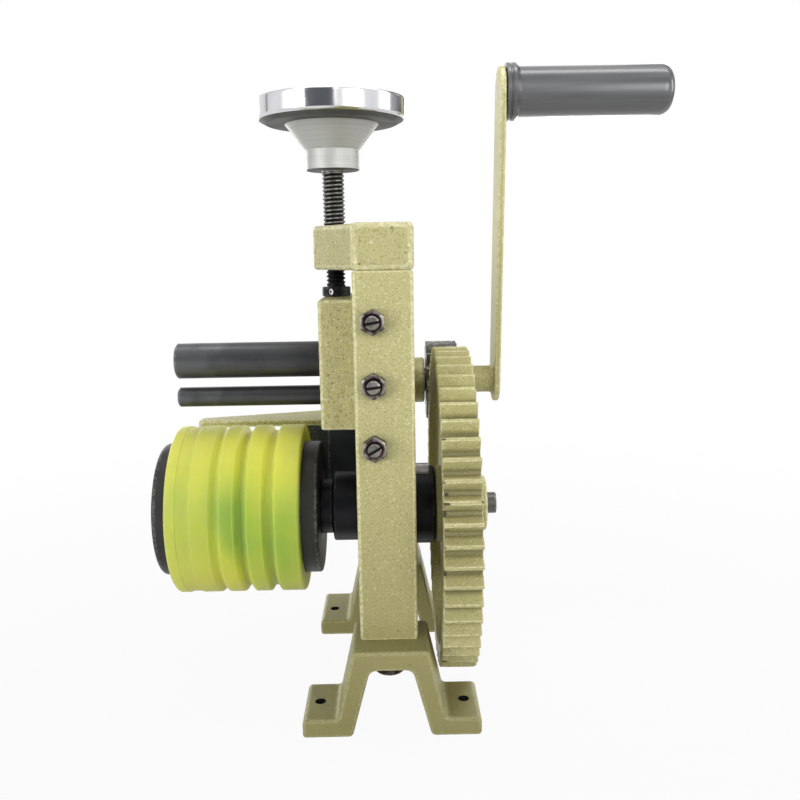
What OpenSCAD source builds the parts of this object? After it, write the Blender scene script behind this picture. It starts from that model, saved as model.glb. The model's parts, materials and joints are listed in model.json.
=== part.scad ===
// Bracelet rolling machine: a cast window frame on two A-shaped feet, a grooved soft drum driven by a crank
// through a gear pair, and two mandrels on a slider that a hand wheel and spindle move up and down.
// Millimetres. X runs along the drum axis to the gear side, Y to the rear, Z up from the bench.

/* [Feet] */
// width of one foot along X
foot_width = 104; // [90:1:130]
// length of one foot along Y
foot_depth = 44; // [36:1:52]
// height of the foot, where the uprights stand
foot_height = 52; // [46:1:62]
// thickness of the bolt-down pads
foot_pad = 11; // [7:0.5:14]
// extra length of the rear foot behind its holes
rear_foot_extra = 8; // [0:0.5:12]
// distance between the two foot centres along Y
foot_pitch = 137; // [126:1:148]
// width of the top of the foot
foot_top_width = 44; // [40:1:50]
// width across both legs where they meet the pads
leg_root_width = 62.5; // [56:0.5:63]
// width of the arch at the bench
arch_width = 46; // [36:1:48]
// width of the arch at its top
arch_top_width = 24.6; // [21:0.1:30]
// height of the arch
arch_height = 40.5; // [36:0.5:42]
// radius of the arch corners
arch_corner = 5; // [3:0.5:8]
// diameter of the bolt-down holes
foot_hole_d = 6.6; // [5:0.1:9]
// distance between the two holes of one foot
foot_hole_pitch = 86; // [80:1:88]

/* [Housing] */
// width of the uprights along X
post_width = 34; // [30:1:36]
// offset of the uprights from the middle of the feet
post_shift = -1; // [-2:0.5:0]
// depth of one upright along Y
post_depth = 28; // [24:1:30]
// width of the window between the uprights
window = 92; // [88:1:96]
// height of the uprights above the bench
housing_top = 267; // [262:1:276]
// thickness of the sill that joins the uprights
sill_height = 20; // [14:1:24]
// width of the guide rib on the rear upright
rib_width = 10; // [8:1:14]
// height of the guide rib above the upright's inner face
rib_height = 4; // [3:0.5:5]
// diameter of the crank boss
crank_boss_d = 34; // [30:1:38]
// X of the crank boss face
crank_boss_x = 28; // [24:1:29]

/* [Top cap] */
// thickness of the cap
cap_height = 26; // [22:1:30]
// overhang of the cap in front of and behind the uprights
cap_overhang = 0.8; // [0:0.1:2]
// reach of the spindle bulge from the middle of the feet
bulge_reach = 43; // [42.5:0.5:48]
// width of the flat end of the bulge
bulge_flat = 42; // [30:1:50]
// width of the bulge where it leaves the uprights
bulge_root = 122; // [100:1:130]
// diameter of the cap screws
cap_screw_d = 8; // [6:1:8]

/* [Slider and mandrels] */
// X of the slider's free face
slider_x = -39.5; // [-42:0.5:-38]
// Z of the slider's underside
slider_bottom = 172.5; // [171:0.5:175]
// height of the slider
slider_height = 77.5; // [75:0.5:80]
// diameter of the big mandrel
big_d = 22.6; // [21:0.1:24]
// Z of the big mandrel axis
big_z = 210.3; // [209.5:0.1:211]
// diameter of the small mandrel
small_d = 12.6; // [12:0.1:13.5]
// Z of the small mandrel axis
small_z = 186.9; // [186.2:0.1:187.2]
// length of the mandrels beyond the slider
mandrel_length = 94.5; // [80:0.5:110]

/* [Spindle and hand wheel] */
// X of the spindle axis
spindle_x = -31; // [-31.5:0.1:-29.5]
// outside diameter of the spindle thread
spindle_d = 14; // [12:1:14]
// Z of the lower face of the hand wheel hub
wheel_z = 327; // [320:0.5:340]
// outside diameter of the hand wheel
wheel_d = 92; // [80:0.5:110]
// height of the hand wheel rim
rim_height = 11.9; // [9:0.1:16]
// diameter of the hand wheel hub
wheel_hub_d = 33; // [28:1:38]
// largest diameter of the hand wheel cone
wheel_cone_d = 57.6; // [50:0.2:62]

/* [Drum] */
// Z of the drum axis
drum_z = 112.6; // [112:0.1:114]
// outside diameter of the sleeve
sleeve_d = 108.2; // [104:0.1:110]
// length of the sleeve
sleeve_length = 80.8; // [77:0.1:84]
// diameter of the drum core
core_d = 85.6; // [80:0.2:92]
// length of the drum core
core_length = 101.9; // [99:0.1:108]
// width of the bare core between the sleeve and the core's inner end
core_rim = 10.5; // [8:0.1:14]
// X of the core's inner end
core_x1 = -43.9; // [-46:0.1:-43]
// diameter of the drum shaft in its bushes
drum_shaft_d = 25; // [20:1:26]
// diameter of the shaft neck
neck_d = 36; // [34:0.5:40]
// X of the bearing boss face on the drum side
boss_left_x = -36; // [-36.5:0.1:-34]
// X of the bearing boss face on the gear side
boss_right_x = 29.6; // [27:0.1:30]
// diameter of the bearing boss on the drum side
boss_left_d = 45.5; // [42:0.5:50]
// diameter of the bearing boss on the gear side
boss_right_d = 51; // [44:0.5:54]

/* [Gears] */
// tooth module
gear_module = 3.7; // [3.6:0.05:3.8]
// teeth of the big gear
gear_teeth = 54; // [50:1:55]
// teeth of the pinion
pinion_teeth = 14; // [13:1:15]
// pressure angle
pressure_angle = 25; // [20:0.5:25]
// play between the teeth on the pitch circle
backlash = 0.5; // [0.3:0.05:0.8]
// X of the gear's inner face
gear_x = 30.2; // [30.2:0.2:33]
// face width of the gear
gear_width = 22; // [18:0.5:24]
// depth of the recess in both gear faces
gear_recess = 7; // [3:0.5:8]
// X of the gear hub's outer face
gear_hub_x = 63.4; // [60:0.2:66]

/* [Crank] */
// Z of the crank shaft axis
crank_z = 180; // [176:0.5:184]
// X of the crank arm's inner face
arm_x = 80.5; // [76:0.5:84]
// thickness of the crank arm
arm_thickness = 4.4; // [4:0.1:8]
// width of the crank arm
arm_width = 34; // [26:1:36]
// distance from the crank shaft to the handle
arm_length = 208; // [180:1:240]
// lean of the crank arm at rest, to the front
arm_lean = 8.3; // [0:0.1:40]
// diameter of the crank hub
crank_hub_d = 20.2; // [18:0.2:26]
// diameter of the grip
grip_d = 33.4; // [28:0.2:37]
// diameter of the grip flange
grip_flange_d = 38.6; // [38:0.2:44]
// length of the grip
grip_length = 115.8; // [100:0.1:140]

/* [Clearances] */
// radial play of every shaft in its bush
running_play = 0.05; // [0.03:0.01:0.09]
// gap between faces that slide past each other
sliding_gap = 0.2; // [0.15:0.05:0.3]
// axial gap between turning and fixed faces
axial_gap = 0.5; // [0.3:0.1:0.8]
// radial play of a screw in its hole
screw_play = 0.1; // [0.05:0.05:0.2]

/* [Hidden] */
$fn = 64;
post_x0 = post_shift - post_width / 2;
post_x1 = post_shift + post_width / 2;
post_y0 = window / 2;
post_y1 = window / 2 + post_depth;
post_mid = window / 2 + post_depth / 2;
foot_y = foot_pitch / 2;
sill_top = foot_height + sill_height;
cap_top = housing_top + cap_height;
slider_top = slider_bottom + slider_height;
// fasteners
m8_flats = 13;
m8_nut = 6.5;
washer_d = 16;
washer_thickness = 1.6;
stud_d = 8;
head_d = 13;
head_height = 8;
foot_screw_d = 12;
foot_screw_head_d = 18;
foot_screw_head = 12;
foot_screw_grip = 24;
foot_screw_y = post_mid + 4;
// gib adjustment
gib_x = post_shift - 6;
gib_pitch = 35.5;
gib_mid_z = slider_bottom + 31;
gib_z = [gib_mid_z + gib_pitch, gib_mid_z, gib_mid_z - gib_pitch];
gib_slot_turn = [10, 7, 30];
gib_screw_out = 10;
gib_slot_width = 1.4;
gib_slot_depth = 1.8;
strip_x0 = post_shift - 11;
strip_x1 = post_shift + 11;
strip_thickness = 4;
strip_z0 = slider_bottom - 12.5;
strip_z1 = housing_top - 4;
rib_z0 = slider_bottom - 17.5;
rib_x0 = post_shift - rib_width / 2;
rib_x1 = post_shift + rib_width / 2;
// bearing block
block_top = slider_bottom - 27.5;
bush_wall = 3.5;
bush_d = drum_shaft_d + 2 * bush_wall;
block_screw_y = 36;
block_screw_top = sill_top + 14;
// drum
core_x0 = core_x1 - core_length;
sleeve_x1 = core_x1 - core_rim;
sleeve_x0 = sleeve_x1 - sleeve_length;
core_end = 10.8;
core_screw_d = 10;
core_screw_head_d = 16;
core_screw_head = 6;
core_screw_length = 28;
// sleeve grooves: distance from the free end, half width at the top, half width at the bottom, depth
grooves = [[10.8, 4.4, 3.8, 0.7], [29.6, 3.2, 0.6, 2.4], [45.4, 4.0, 1.0, 4.2], [62.2, 3.8, 1.8, 3.6]];
sleeve_edge = 1;
// gear pair
gear_pitch_r = gear_module * gear_teeth / 2;
pinion_pitch_r = gear_module * pinion_teeth / 2;
gear_centres = gear_pitch_r + pinion_pitch_r;
crank_rise = crank_z - drum_z;
crank_y = sqrt(gear_centres * gear_centres - crank_rise * crank_rise);
mesh_angle = atan2(crank_rise, crank_y);
gear_root_r = gear_pitch_r - 1.25 * gear_module;
rim_wall = 6;
gear_hub_d = 36;
gear_pad = 7;
gear_phase = -2.2;
gear_seat_d = 20;
shaft_end_d = 13.8;
shaft_end_x = 70.4;
key_width = 6;
key_height = 6;
// crank
crank_shaft_d = 18;
crank_seat_d = 16;
crank_end_d = 12;
crank_bush_d = 24;
crank_collar_d = 26;
crank_collar_width = 4;
pinion_x0 = crank_boss_x + 1.3;
pinion_x1 = gear_x + gear_width + 0.5;
hub_x0 = pinion_x1 + 0.5;
handle_y = crank_y - arm_length * sin(arm_lean);
handle_z = crank_z + arm_length * cos(arm_lean);
handle_pin_d = 10;
arm_x1 = arm_x + arm_thickness;
grip_x0 = arm_x1 + axial_gap;
grip_flange_width = 9;
grip_end = grip_x0 + grip_length;
pin_nut_x0 = grip_end - 16;
pin_nut_d = 16;
pin_nut_width = 5;
grip_cap_x0 = grip_end - 8;
// slider bores
mandrel_end = slider_x - mandrel_length;
big_journal_d = big_d - 3;
small_journal_d = small_d - 3.3;
big_bush_d = big_journal_d + 7;
small_bush_d = small_journal_d + 7;
collar_pocket_x = post_x1 - 8;
collar_width = 5.5;
collar_radial_gap = 0.5;
// spindle
journal_d = 10;
journal_z = slider_top - 22;
keeper_z = slider_top - 16;
keeper_groove = 4;
keeper_groove_d = 7;
keeper_d = 6;
keeper_tip_d = 3.3;
collar_d = 18;
collar_height = 5.7;
collar_z = slider_top + 0.3;
collar_hole_d = 4;
collar_turn = -22;
lower_thread_d = 12;
lower_thread_z = collar_z + collar_height;
thread_z = housing_top + 1;
wheel_seat_d = 12;
wheel_seat_step = 1;
cone_z = wheel_z + 12;
web_z = cone_z + 15.6;
web_thickness = 5;
rim_z = web_z + 2.6;
rim_thickness = 6;
wheel_top = rim_z + rim_height - 3;
wheel_boss_d = 26;
nut_d = 21;
// feed table
table_top = 160.5;
table_thickness = 5;
table_tip_x = sleeve_x0 - 0.3;
table_front = post_y0 + 8;
table_tip_depth = 12;
table_rear = post_y1 + 16;
table_knee_x = post_x0 - 34;
// bracket under the feed table
bracket_top = table_top - table_thickness;
bracket_height = 40;
bracket_web_height = 22;
bracket_bottom = bracket_top - bracket_height;
bracket_x = post_x0 - 25;
bracket_web_x = bracket_x - 19;
bracket_step = 6;
bracket_front = post_y0 + 2;
bracket_rear = post_y0 + 12;
bracket_flange = 5;
table_bolt_d = 6;
table_bolt_flats = 10;
table_bolt_head = 4;
table_bolt_y = (bracket_rear + post_y1) / 2;
table_bolt_edge = 7;
table_bolt_z = [bracket_top - table_bolt_edge, bracket_bottom + table_bolt_edge];
table_bolt_depth = 14;
table_screw_d = 5;
table_screw_head_d = 8.5;
table_screw_depth = 14;
table_screw_head = 3.2;
table_screw_x = [post_x0 - 9, post_x0 - 19];
table_screw_y = (bracket_rear + table_front) / 2;
// guard stud
guard_stud_d = 6.4;
guard_stud_z = slider_bottom - 20.5;
guard_stud_out = 7.6;
guard_stud_seat = 9;
// colours
paint = [0.74, 0.72, 0.52];
black = [0.08, 0.08, 0.09];
steel = [0.45, 0.45, 0.46];
bright = [0.78, 0.78, 0.8];
bronze = [0.7, 0.5, 0.25];
soft = [0.72, 0.8, 0.3];
grey = [0.55, 0.56, 0.57];
cut = 0.5;

// node to draw, or all of them

// box between two corners
module box(low, high) {
    translate(low) cube(high - low);
}

// solid rod along X
module rod_x(x0, x1, d, y, z) {
    translate([x0, y, z]) rotate([0, 90, 0]) cylinder(d = d, h = x1 - x0);
}

// hexagonal prism along X
module hex_x(x0, x1, flats, y, z) {
    translate([x0, y, z]) rotate([0, 90, 0]) cylinder(d = flats / cos(30), h = x1 - x0, $fn = 6);
}

// hexagonal prism along Z
module hex_z(z0, z1, flats, x, y) {
    translate([x, y, z0]) cylinder(d = flats / cos(30), h = z1 - z0, $fn = 6);
}

// tube along X
module tube_x(x0, x1, outer, inner, y, z) {
    difference() {
        rod_x(x0, x1, outer, y, z);
        rod_x(x0 - cut, x1 + cut, inner, y, z);
    }
}

// half width of the arch at a height
function arch_half(z) = arch_width / 2 - (arch_width - arch_top_width) / 2 * z / arch_height;

// arch opening with tangent corner arcs
module arch_opening() {
    slope = atan2((arch_width - arch_top_width) / 2, arch_height);
    centre_z = arch_height - arch_corner;
    centre_x = arch_half(centre_z) - arch_corner / cos(slope);
    touch_x = centre_x + arch_corner * cos(slope);
    touch_z = centre_z + arch_corner * sin(slope);
    floor_half = arch_half(-1);
    polygon([[-floor_half, -1], [floor_half, -1], [touch_x, touch_z], [centre_x, arch_height],
             [-centre_x, arch_height], [-touch_x, touch_z]]);
    translate([centre_x, centre_z]) circle(r = arch_corner);
    translate([-centre_x, centre_z]) circle(r = arch_corner);
}

// side view of a foot
module foot_profile() {
    half = foot_width / 2;
    root = leg_root_width / 2;
    top = foot_top_width / 2;
    difference() {
        polygon([[-half, 0], [half, 0], [half, foot_pad], [root, foot_pad], [top, foot_height],
                 [-top, foot_height], [-root, foot_pad], [-half, foot_pad]]);
        arch_opening();
    }
}

// one foot; side is -1 in front and 1 behind
module foot(side, extra) {
    difference() {
        translate([0, side * foot_y + foot_depth / 2 + extra, 0]) rotate([90, 0, 0])
            linear_extrude(foot_depth + extra) foot_profile();
        for (s = [-1, 1])
            translate([s * foot_hole_pitch / 2, side * foot_y, -cut])
                cylinder(d = foot_hole_d, h = foot_pad + 2 * cut);
        translate([post_shift, side * foot_screw_y, arch_height - cut])
            cylinder(d = foot_screw_d + 2 * screw_play, h = foot_height);
    }
}

module front_foot() {
    color(paint) foot(-1, 0);
}

module rear_foot() {
    color(paint) foot(1, rear_foot_extra);
}

// cap screws from below that hold the uprights on the feet
module foot_screws() {
    head_z = arch_height - foot_screw_head;
    color(black)
        for (side = [-1, 1]) difference() {
            union() {
                translate([post_shift, side * foot_screw_y, head_z])
                    cylinder(d = foot_screw_head_d, h = foot_screw_head);
                translate([post_shift, side * foot_screw_y, arch_height - cut])
                    cylinder(d = foot_screw_d, h = foot_height + foot_screw_grip - arch_height);
            }
            hex_z(head_z - cut, head_z + 6, 10, post_shift, side * foot_screw_y);
        }
}

// cast frame: uprights, sill, guide rib and crank bracket
module housing() {
    bracket_z0 = crank_z - crank_boss_d / 2;
    bracket_z1 = crank_z + crank_boss_d / 2;
    color(paint) difference() {
        union() {
            box([post_x0, -post_y1, foot_height], [post_x1, -post_y0, housing_top]);
            box([post_x0, post_y0, foot_height], [post_x1, post_y1, housing_top]);
            box([post_x0, -post_y0 - cut, foot_height], [post_x1, post_y0 + cut, sill_top]);
            box([rib_x0, post_y0 - rib_height, rib_z0], [rib_x1, post_y0 + cut, housing_top]);
            box([post_x0, post_y1 - cut, bracket_z0], [post_x1, crank_y, bracket_z1]);
            rod_x(post_x0, crank_boss_x, crank_boss_d, crank_y, crank_z);
        }
        rod_x(post_x0 - cut, crank_boss_x + cut, crank_bush_d, crank_y, crank_z);
        for (z = gib_z)
            translate([gib_x, -post_y0 + cut, z]) rotate([90, 0, 0])
                cylinder(d = stud_d + 2 * screw_play, h = post_depth + 2 * cut);
        for (side = [-1, 1]) {
            translate([post_shift, side * foot_screw_y, foot_height - cut])
                cylinder(d = foot_screw_d + 2 * screw_play, h = foot_screw_grip + 2 * cut);
            translate([post_shift, side * post_mid, housing_top - 20])
                cylinder(d = cap_screw_d + 2 * screw_play, h = 20 + cut);
            translate([post_shift, side * block_screw_y, foot_height - cut])
                cylinder(d = head_d + 4 * screw_play, h = head_height + 2 * cut);
            translate([post_shift, side * block_screw_y, foot_height])
                cylinder(d = stud_d + 2 * screw_play, h = sill_height + cut);
        }
        for (z = table_bolt_z)
            rod_x(post_x0 - cut, post_x0 + table_bolt_depth + 1, table_bolt_d + 2 * screw_play,
                  table_bolt_y, z);
        rod_x(post_x1 - guard_stud_seat - 1, post_x1 + cut, guard_stud_d + 2 * screw_play,
              -post_mid, guard_stud_z);
    }
}

// cap over the window, with a bulge around the spindle
module top_cap() {
    end_y = post_y1 + cap_overhang;
    color(paint) difference() {
        translate([0, 0, housing_top]) linear_extrude(cap_height)
            polygon([[post_x1 + 0.5, -end_y], [post_x1 + 0.5, end_y], [post_x0, end_y],
                     [post_x0, bulge_root / 2], [-bulge_reach, bulge_flat / 2],
                     [-bulge_reach, -bulge_flat / 2], [post_x0, -bulge_root / 2], [post_x0, -end_y]]);
        translate([spindle_x, 0, housing_top - cut]) cylinder(d = nut_d, h = cap_height + 2 * cut);
        for (side = [-1, 1]) {
            translate([post_shift, side * post_mid, housing_top - cut])
                cylinder(d = cap_screw_d + 2 * screw_play, h = cap_height + 2 * cut);
            translate([post_shift, side * post_mid, cap_top - head_height - 1])
                cylinder(d = head_d + 4 * screw_play, h = head_height + 2);
        }
    }
}

module cap_screws() {
    head_z = cap_top - head_height - 1;
    color(black)
        for (side = [-1, 1]) difference() {
            union() {
                translate([post_shift, side * post_mid, head_z]) cylinder(d = head_d, h = head_height);
                translate([post_shift, side * post_mid, housing_top - 18])
                    cylinder(d = cap_screw_d, h = head_z - housing_top + 18 + cut);
            }
            hex_z(head_z + 4, head_z + head_height + cut, 6, post_shift, side * post_mid);
        }
}

module spindle_nut() {
    color(bronze) difference() {
        translate([spindle_x, 0, housing_top]) cylinder(d = nut_d, h = cap_height);
        translate([spindle_x, 0, housing_top - cut])
            cylinder(d = spindle_d + 2 * running_play, h = cap_height + 2 * cut);
    }
}

module gib_screws() {
    end_y = -post_y1 - gib_screw_out;
    color(steel)
        for (i = [0 : len(gib_z) - 1]) difference() {
            translate([gib_x, -post_y0, gib_z[i]]) rotate([90, 0, 0])
                cylinder(d = stud_d, h = post_depth + gib_screw_out);
            translate([gib_x, end_y, gib_z[i]]) rotate([0, gib_slot_turn[i], 0])
                translate([-stud_d, -cut, -gib_slot_width / 2])
                    cube([2 * stud_d, gib_slot_depth + cut, gib_slot_width]);
        }
}

module gib_lock_nuts() {
    color(black)
        for (z = gib_z)
            translate([gib_x, -post_y1, z]) rotate([90, 30, 0]) difference() {
                cylinder(d = m8_flats / cos(30), h = m8_nut, $fn = 6);
                translate([0, 0, -cut]) cylinder(d = stud_d, h = m8_nut + 2 * cut);
            }
}

module gib_strip() {
    color(steel) box([strip_x0, -post_y0, strip_z0], [strip_x1, -post_y0 + strip_thickness, strip_z1]);
}

// black block in the window that carries the drum shaft
module bearing_block() {
    color(black) difference() {
        box([post_x0, -post_y0 + sliding_gap, sill_top], [post_x1, post_y0 - sliding_gap, block_top]);
        rod_x(post_x0 - cut, post_x1 + cut, bush_d, 0, drum_z);
        for (side = [-1, 1])
            translate([post_shift, side * block_screw_y, sill_top - cut])
                cylinder(d = stud_d + 2 * screw_play, h = block_screw_top - sill_top + 2 + cut);
    }
}

module bearing_boss_left() {
    color(black) tube_x(boss_left_x, post_x0, boss_left_d, bush_d, 0, drum_z);
}

module bearing_boss_right() {
    color(black) tube_x(post_x1, boss_right_x, boss_right_d, bush_d, 0, drum_z);
}

module block_screws() {
    color(black)
        for (side = [-1, 1]) difference() {
            union() {
                translate([post_shift, side * block_screw_y, foot_height + cut])
                    cylinder(d = head_d, h = head_height);
                translate([post_shift, side * block_screw_y, foot_height + head_height])
                    cylinder(d = stud_d, h = block_screw_top - foot_height - head_height);
            }
            hex_z(foot_height, foot_height + 4, 6, post_shift, side * block_screw_y);
        }
}

module drum_bush_left() {
    color(bronze) tube_x(boss_left_x, -8, bush_d, drum_shaft_d + 2 * running_play, 0, drum_z);
}

module drum_bush_right() {
    color(bronze) tube_x(2, boss_right_x, bush_d, drum_shaft_d + 2 * running_play, 0, drum_z);
}

module guard_stud() {
    color(bright)
        rod_x(post_x1 - guard_stud_seat, post_x1 + guard_stud_out, guard_stud_d, -post_mid, guard_stud_z);
}

// tapered table that guides the strip into the nip
module feed_table() {
    color(paint) difference() {
        translate([0, 0, bracket_top]) linear_extrude(table_thickness)
            polygon([[table_tip_x, table_front], [bracket_x, table_front], [bracket_x, bracket_front],
                     [post_x0, bracket_front], [post_x0, table_rear], [table_knee_x, table_rear],
                     [table_tip_x, table_front + table_tip_depth]]);
        for (x = table_screw_x) {
            translate([x, table_screw_y, bracket_top - cut])
                cylinder(d = table_screw_d + 2 * screw_play, h = table_thickness + 2 * cut);
            translate([x, table_screw_y, table_top - table_screw_head])
                cylinder(d = table_screw_head_d + 4 * screw_play, h = table_screw_head + cut);
        }
    }
}

// black bracket that carries the feed table on the rear upright
module table_bracket() {
    color(black) difference() {
        union() {
            box([bracket_x, bracket_front, bracket_bottom], [post_x0, bracket_rear, bracket_top]);
            box([bracket_web_x, bracket_front + bracket_step, bracket_top - bracket_web_height],
                [bracket_x + cut, bracket_rear, bracket_top]);
            box([post_x0 - bracket_flange, bracket_rear - cut, bracket_bottom],
                [post_x0, post_y1, bracket_top]);
        }
        for (x = table_screw_x)
            translate([x, table_screw_y, bracket_top - table_screw_depth - 1])
                cylinder(d = table_screw_d + 2 * screw_play, h = table_screw_depth + 1 + cut);
        for (z = table_bolt_z)
            rod_x(post_x0 - bracket_flange - cut, post_x0 + cut, table_bolt_d + 2 * screw_play,
                  table_bolt_y, z);
    }
}

// sunk screws that hold the feed table on its bracket
module table_screws() {
    color(black)
        for (x = table_screw_x) difference() {
            union() {
                translate([x, table_screw_y, table_top - table_screw_head])
                    cylinder(d = table_screw_head_d, h = table_screw_head - 0.2);
                translate([x, table_screw_y, bracket_top - table_screw_depth])
                    cylinder(d = table_screw_d,
                             h = table_screw_depth + table_thickness - table_screw_head + cut);
            }
            hex_z(table_top - table_screw_head + 1, table_top, 4, x, table_screw_y);
        }
}

module table_bolts() {
    head_x = post_x0 - bracket_flange;
    color(black)
        for (z = table_bolt_z) {
            hex_x(head_x - table_bolt_head, head_x, table_bolt_flats, table_bolt_y, z);
            rod_x(head_x, post_x0 + table_bolt_depth, table_bolt_d, table_bolt_y, z);
        }
}

module crank_bush() {
    color(bronze)
        tube_x(post_x0, crank_boss_x, crank_bush_d, crank_shaft_d + 2 * running_play, crank_y, crank_z);
}

// block that slides in the window and carries the mandrels
module slider() {
    half = post_y0 - sliding_gap;
    color(paint) difference() {
        box([slider_x, -half, slider_bottom], [post_x1, half, slider_top]);
        box([strip_x0 - sliding_gap, -half - cut, slider_bottom - cut],
            [strip_x1 + sliding_gap, -post_y0 + strip_thickness + sliding_gap, slider_top + cut]);
        box([rib_x0 - sliding_gap, post_y0 - rib_height - sliding_gap, slider_bottom - cut],
            [rib_x1 + sliding_gap, half + cut, slider_top + cut]);
        rod_x(slider_x - cut, post_x1 + cut, big_bush_d, 0, big_z);
        rod_x(slider_x - cut, post_x1 + cut, small_bush_d, 0, small_z);
        translate([spindle_x, 0, journal_z - 2])
            cylinder(d = journal_d + 2 * running_play, h = slider_top - journal_z + 2 + cut);
        rod_x(slider_x - cut, spindle_x, keeper_d + 2 * screw_play, 0, keeper_z);
    }
}

module big_bush() {
    color(bronze) tube_x(slider_x, collar_pocket_x, big_bush_d, big_journal_d + 2 * running_play, 0, big_z);
}

module small_bush() {
    color(bronze)
        tube_x(slider_x, collar_pocket_x, small_bush_d, small_journal_d + 2 * running_play, 0, small_z);
}

module spindle_keeper() {
    tip_x = spindle_x - keeper_groove_d / 2 - 0.3;
    shank_x = spindle_x - journal_d / 2 - 0.4;
    color(black) {
        rod_x(slider_x + 0.3, shank_x, keeper_d, 0, keeper_z);
        rod_x(shank_x, tip_x, keeper_tip_d, 0, keeper_z);
    }
}

// screw spindle: journal in the slider, slim thread over the collar, thread in the cap, seat for the hand wheel
module spindle() {
    color(black) difference() {
        translate([spindle_x, 0, 0]) union() {
            translate([0, 0, journal_z]) cylinder(d = journal_d, h = lower_thread_z - journal_z);
            translate([0, 0, lower_thread_z]) cylinder(d = lower_thread_d, h = thread_z - lower_thread_z);
            translate([0, 0, thread_z]) cylinder(d = spindle_d, h = wheel_z - thread_z);
            translate([0, 0, wheel_z])
                cylinder(d = wheel_seat_d - 2 * wheel_seat_step, h = wheel_top - 2 - wheel_z);
            translate([0, 0, wheel_top - 2]) cylinder(d = stud_d, h = washer_thickness + m8_nut + 3);
        }
        translate([spindle_x, 0, keeper_z - keeper_groove / 2]) difference() {
            cylinder(d = journal_d + 1, h = keeper_groove);
            translate([0, 0, -cut]) cylinder(d = keeper_groove_d, h = keeper_groove + 2 * cut);
        }
    }
}

// turned hand wheel: hub, cone, web and rim
module hand_wheel() {
    bore_r = wheel_seat_d / 2 - wheel_seat_step;
    rim_r = wheel_d / 2;
    rim_in = rim_r - rim_thickness;
    color(bright) translate([spindle_x, 0, 0]) rotate_extrude()
        polygon([[bore_r, wheel_z], [wheel_hub_d / 2, wheel_z], [wheel_hub_d / 2, cone_z],
                 [wheel_cone_d / 2, web_z], [rim_in, web_z], [rim_r - 1, rim_z],
                 [rim_r, rim_z + 1], [rim_r, rim_z + rim_height - 1], [rim_r - 1, rim_z + rim_height],
                 [rim_in, rim_z + rim_height], [rim_in - 1, web_z + web_thickness],
                 [wheel_boss_d / 2, web_z + web_thickness], [wheel_boss_d / 2, wheel_top],
                 [bore_r, wheel_top]]);
}

module wheel_washer() {
    color(bright) translate([spindle_x, 0, wheel_top]) difference() {
        cylinder(d = washer_d, h = washer_thickness);
        translate([0, 0, -cut]) cylinder(d = stud_d, h = washer_thickness + 2 * cut);
    }
}

module wheel_nut() {
    color(black) difference() {
        hex_z(wheel_top + washer_thickness, wheel_top + washer_thickness + m8_nut, m8_flats, spindle_x, 0);
        translate([spindle_x, 0, wheel_top]) cylinder(d = stud_d, h = washer_thickness + m8_nut + cut);
    }
}

module thrust_collar() {
    color(black) difference() {
        translate([spindle_x, 0, collar_z]) cylinder(d = collar_d, h = collar_height);
        translate([spindle_x, 0, collar_z - cut]) cylinder(d = journal_d, h = collar_height + 2 * cut);
        translate([spindle_x, 0, collar_z + collar_height / 2]) rotate([90, 0, collar_turn])
            cylinder(d = collar_hole_d, h = collar_d);
    }
}

module collar_screw() {
    color(steel) translate([spindle_x, 0, collar_z + collar_height / 2]) rotate([90, 0, collar_turn])
        translate([0, 0, journal_d / 2]) difference() {
            cylinder(d = collar_hole_d - 2 * screw_play, h = (collar_d - journal_d) / 2 - 1.6);
            translate([0, 0, 1.2]) cylinder(d = 2.2, h = 4, $fn = 6);
        }
}

// mandrel: working length, journal in the bush, seat for the collar
module mandrel(d, journal, z) {
    face = slider_x - 0.3;
    chamfer = 1;
    rod_x(mandrel_end + chamfer, face, d, 0, z);
    translate([mandrel_end, 0, z]) rotate([0, 90, 0]) cylinder(d1 = d - 2 * chamfer, d2 = d, h = chamfer);
    rod_x(face - cut, collar_pocket_x + 0.3, journal, 0, z);
    rod_x(collar_pocket_x, collar_pocket_x + 0.3 + collar_width, journal - 3, 0, z);
}

module big_mandrel() {
    color(steel) mandrel(big_d, big_journal_d, big_z);
}

module big_mandrel_collar() {
    color(black)
        tube_x(collar_pocket_x + 0.3, collar_pocket_x + 0.3 + collar_width,
               big_bush_d - 2 * collar_radial_gap, big_journal_d - 3, 0, big_z);
}

module small_mandrel() {
    color(steel) mandrel(small_d, small_journal_d, small_z);
}

module small_mandrel_collar() {
    color(black)
        tube_x(collar_pocket_x + 0.3, collar_pocket_x + 0.3 + collar_width,
               small_bush_d - 2 * collar_radial_gap, small_journal_d - 3, 0, small_z);
}

// stepped shaft of the drum and the big gear
module drum_shaft() {
    color(black) difference() {
        union() {
            rod_x(core_x0 + core_end, gear_x, drum_shaft_d, 0, drum_z);
            rod_x(core_x1, boss_left_x - axial_gap, neck_d, 0, drum_z);
            rod_x(gear_x - cut, gear_hub_x, gear_seat_d, 0, drum_z);
            rod_x(gear_hub_x - cut, shaft_end_x, shaft_end_d, 0, drum_z);
        }
        rod_x(core_x0, core_x0 + core_screw_head + core_screw_length + 2, core_screw_d + 2 * screw_play,
              0, drum_z);
        box([gear_x + 5, -key_width / 2, drum_z + gear_seat_d / 2 - key_height / 2],
            [gear_hub_x + cut, key_width / 2, drum_z + gear_seat_d]);
    }
}

module drum_core() {
    color(black) difference() {
        rod_x(core_x0, core_x1, core_d, 0, drum_z);
        rod_x(core_x0 + core_end, core_x1 + cut, drum_shaft_d, 0, drum_z);
        rod_x(core_x0 - cut, core_x0 + core_end + cut, core_screw_d + 6 * screw_play, 0, drum_z);
        rod_x(core_x0 - cut, core_x0 + core_screw_head, core_screw_head_d + 2, 0, drum_z);
    }
}

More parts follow.
